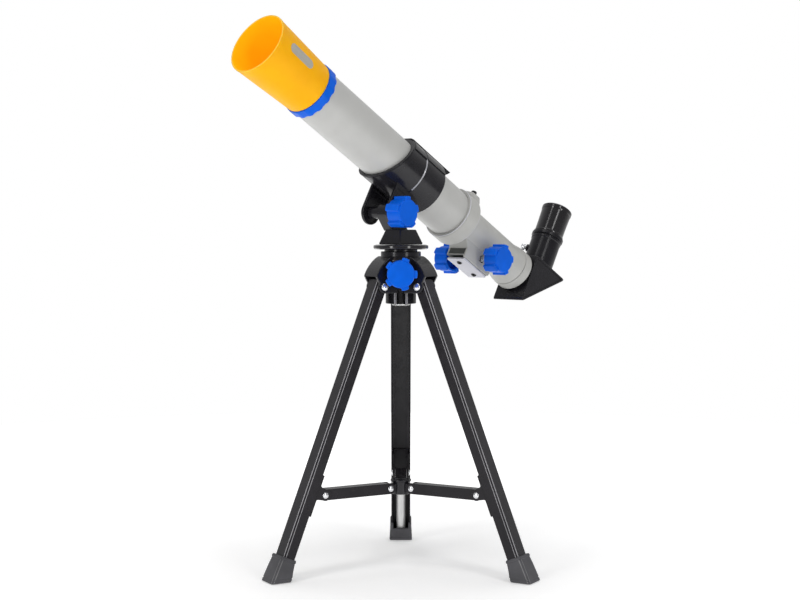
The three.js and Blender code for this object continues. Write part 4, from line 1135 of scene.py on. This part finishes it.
PRISM = {"front": -202.5, "top": 20.5, "leg": 53.0, "half": 19.0, "wall": 2.5}
SOCKET = {"station": -228.6, "radius": 15.4, "bore": 12.6, "lip": 16.7, "top": 57.3}
SCREW_LINE = {"up": 39.0, "turn": -60.0, "boss": 17.2, "head": 3.6}


def diagonal():
    front, top, leg_length, half, wall = (PRISM[key] for key in ("front", "top", "leg", "half", "wall"))
    corners = [(front, top), (front - leg_length, top), (front, top - leg_length)]
    wedge = slab(rounded([(*corners[0], 1.2), (*corners[1], 2.2), (*corners[2], 2.2)]), -half, half, 0.6)
    margin = 2.2
    shrink = margin * (2 + math.sqrt(2))
    panel = rounded([
        (front - margin, top - margin, 1.0), (front - margin - leg_length + shrink, top - margin, 1.0),
        (front - margin, top - margin - leg_length + shrink, 1.0),
    ])
    recesses = [slab(panel, half - 0.6, half + 5), slab(panel, -half - 5, -half + 0.6)]
    hollow = leg_length - wall * (2 + math.sqrt(2))
    inner = [
        (front - wall, top - wall), (front - wall - hollow, top - wall), (front - wall, top - wall - hollow),
    ]
    place = Matrix.Translation((SOCKET["station"], 0, 0))
    lip, radius, high = SOCKET["lip"], SOCKET["radius"], SOCKET["top"]
    socket = moved(lathe([
        (0, top - wall), (radius + 1.0, top - wall), (radius + 1.0, top + 1.2, 0.6), (radius, top + 2.0, 0.5),
        (radius, high - 7.4, 0.5), (lip - 0.8, high - 6.6, 0.4), (lip - 0.8, high - 4.6, 0.4),
        (lip - 1.6, high - 4.2, 0.3), (lip - 1.6, high - 3.6, 0.3), (lip, high - 3.2, 0.4), (lip, high, 0.6),
        (0, high),
    ], 128), place)
    nose = lathe([(0, front - 1), (12.25, front - 1), (12.25, -184, 0.5), (0, -184)], 96)
    nose = moved(nose, along_x(HERE))
    screw = screw_line()
    boss = moved(rod(3.9, 12, SCREW_LINE["boss"], 0.4), screw)
    cuts = [
        *recesses, slab(inner, -half + wall, half - wall),
        moved(rod(10.6, front - wall - 1, -180, sides=96), along_x(HERE)),
        moved(rod(SOCKET["bore"], top - wall - 1, high + 5, sides=96), place),
        moved(rod(1.8, 10, 30, sides=24), screw),
    ]
    piece("diagonal_moulding", "diagonal_housing", SCOPE, [wedge, socket, nose, boss], cuts, crease=32)
    thumbscrew(screw)
    eyepiece()


def screw_line():
    """The thumbscrew's own line: Z out from the socket's axis."""
    turn = Matrix.Rotation(math.radians(SCREW_LINE["turn"]), 4, "Z")
    place = Matrix.Translation((SOCKET["station"], 0, SCREW_LINE["up"]))
    return place @ turn @ Matrix.Rotation(math.pi / 2, 4, "Y")


def thumbscrew(line):
    place = SCOPE @ line
    low, high = extent("eyepiece_thumbscrew", place)
    head, start = SCREW_LINE["head"], SCREW_LINE["boss"] + 0.3
    ridges = 24

    def knurl(turn, r, z):
        if r <= head - 0.3 or z <= start + 1.4:
            return r, z
        return r - 0.15 + 0.15 * math.cos(ridges * turn), z

    piece("eyepiece_thumbscrew_turned", "eyepiece_thumbscrew", place, lathe([
        (0, low.z), (1.5, low.z, 0.2), (1.5, start), (head - 0.9, start, 0.2),
        (head - 0.9, start + 1.3, 0.2),
        (head, start + 1.5, 0.15), (head, high.z - 1.4), (head, high.z - 0.8), (head - 0.8, high.z, 0.4),
        (0, high.z),
    ], 96, knurl))


def eyepiece():
    place = shifted(SCOPE, x=SOCKET["station"])
    low, high = extent("eyepiece_body", place)
    top, bottom, radius = high.z, low.z, high.y
    shoulder = SOCKET["top"] + 0.3
    piece("eyepiece_moulding", "eyepiece_body", place, lathe([
        (10.5, bottom), (12.25, bottom, 0.3), (12.25, shoulder), (radius - 0.6, shoulder, 0.5),
        (radius - 0.2, shoulder + 1.6, 0.4), (radius - 1.0, shoulder + 2.4, 0.4),
        (radius - 0.9, shoulder + 14), (radius - 0.5, top - 6, 0.6), (radius - 0.1, top - 4.6, 0.5),
        (radius, top - 1.2, 0.8), (radius - 1.6, top, 0.8), (11.5, top, 0.6), (7.6, top - 2.2, 0.6),
        (7.0, top - 2.4, 0.3), (7.0, top - 6), (10.5, top - 6),
    ], 128))
    elements = (("eye_element", "eyepiece_eye_lens", 1.6), ("field_element", "eyepiece_field_lens", 1.8))
    for name, node, bulge in elements:
        lens_low, lens_high = extent(node, place)
        rim = lens_high.z - bulge
        shares = [k / 8 for k in range(8, -1, -1)]
        profile = [(0, lens_low.z), (lens_high.y, lens_low.z)]
        profile += [(lens_high.y * share, rim + bulge * (1 - share ** 2)) for share in shares]
        piece(name, node, place, lathe(profile, 64))


# ---- CAD nodes that stay -------------------------------------------------------------------------

def dress_kept_nodes():
    """Inner pieces whose CAD shape is right keep it and take a full material."""
    for node in ("tube_baffle", "focus_rack", "diagonal_mirror", "azimuth_lock_screw"):
        data = frame["nodes"][node].data
        data.materials.clear()
        data.materials.append(MATT_BLACK if node == "tube_baffle" else LOOKS[SLOTS[node]])


# ---- Stage ---------------------------------------------------------------------------------------

def floor_look():
    """A pale floor that fades into the white background with distance."""
    material = surface("studio floor", (0.88, 0.88, 0.88), 0.9, tone=0.01, specular=0.1)
    nodes = material.node_tree.nodes
    links = material.node_tree.links
    shader = nodes["Principled BSDF"]
    place = nodes.new("ShaderNodeTexCoord")
    distance = nodes.new("ShaderNodeVectorMath")
    distance.operation = "LENGTH"
    links.new(place.outputs["Object"], distance.inputs[0])
    fade = remap(material.node_tree, distance.outputs["Value"], (0.12, 0.6), (0.3, 0.8))
    links.new(fade, shader.inputs["Emission Strength"])
    shader.inputs["Emission Color"].default_value = (1, 1, 1, 1)
    return material


def stage():
    rings = 96
    turns = [2 * math.pi * k / rings for k in range(rings)]
    mesh = bpy.data.meshes.new("floor")
    mesh.from_pydata([(1.2 * math.cos(t), 1.2 * math.sin(t), 0) for t in turns], [], [list(range(rings))])
    floor = bpy.data.objects.new("floor", mesh)
    bpy.context.scene.collection.objects.link(floor)
    floor.location = AXIS_FOOT * MM - Vector((0, 0, 0.0005))
    floor.data.materials.append(floor_look())


def area_light(name, location, target, width, height, power, colour=(1, 1, 1)):
    """A soft box. Its place and target are in metres from the foot of the azimuth axis."""
    data = bpy.data.lights.new(name, "AREA")
    data.shape = "RECTANGLE"
    data.size = width
    data.size_y = height
    data.energy = power
    data.color = colour
    light = bpy.data.objects.new(name, data)
    light.location = AXIS_FOOT * MM + Vector(location)
    light.rotation_euler = (Vector(target) - Vector(location)).to_track_quat("-Z", "Y").to_euler()
    bpy.context.scene.collection.objects.link(light)


def studio():
    """White behind the object, dimmer in front of it, with two tall soft boxes in front and one above."""
    world = bpy.data.worlds.new("studio")
    world.use_nodes = True
    nodes = world.node_tree.nodes
    links = world.node_tree.links
    direction = nodes.new("ShaderNodeTexCoord")
    split = nodes.new("ShaderNodeSeparateXYZ")
    links.new(direction.outputs["Generated"], split.inputs["Vector"])
    level = remap(world.node_tree, split.outputs["Y"], (-0.2, 0.6), (0.24, 0.6))
    ray = nodes.new("ShaderNodeLightPath")
    strength = nodes.new("ShaderNodeMath")
    strength.operation = "MAXIMUM"
    links.new(level, strength.inputs[0])
    links.new(ray.outputs["Is Camera Ray"], strength.inputs[1])
    background = nodes["Background"]
    background.inputs["Color"].default_value = (1, 1, 1, 1)
    links.new(strength.outputs["Value"], background.inputs["Strength"])
    bpy.context.scene.world = world
    middle = (0, 0, 0.27)
    area_light("left strip", (-1.09, -1.30, 0.75), (0, 0, 0.35), 0.3, 1.6, 9)
    area_light("right strip", (0.95, -1.41, 0.75), (0, 0, 0.35), 0.3, 1.6, 8)
    area_light("top", (0.0, 0.1, 1.7), middle, 1.2, 1.2, 5)
    area_light("top strip", (0.0, -0.5, 1.6), middle, 1.2, 0.2, 2.5)


def camera():
    data = bpy.data.cameras.new("camera")
    data.sensor_width = 36.0
    data.lens = 71.76
    view = bpy.data.objects.new("camera", data)
    view.location = AXIS_FOOT * MM + Vector((-0.0008, -1.4819, 0.3236))
    view.rotation_euler = (math.radians(90 - 2.86), 0, 0)
    bpy.context.scene.collection.objects.link(view)
    bpy.context.scene.camera = view
    bpy.context.scene.view_settings.view_transform = "Standard"


hub()
azimuth_lock()
for leg_name in LEG_NAMES:
    leg(leg_name)
spreader()
turntable()
mount_post()
tilt_hardware()
dew_shield()
lens_cell()
main_tube()
cradle()
rear_cell()
focuser()
diagonal()
dress_kept_nodes()
stage()
studio()
camera()
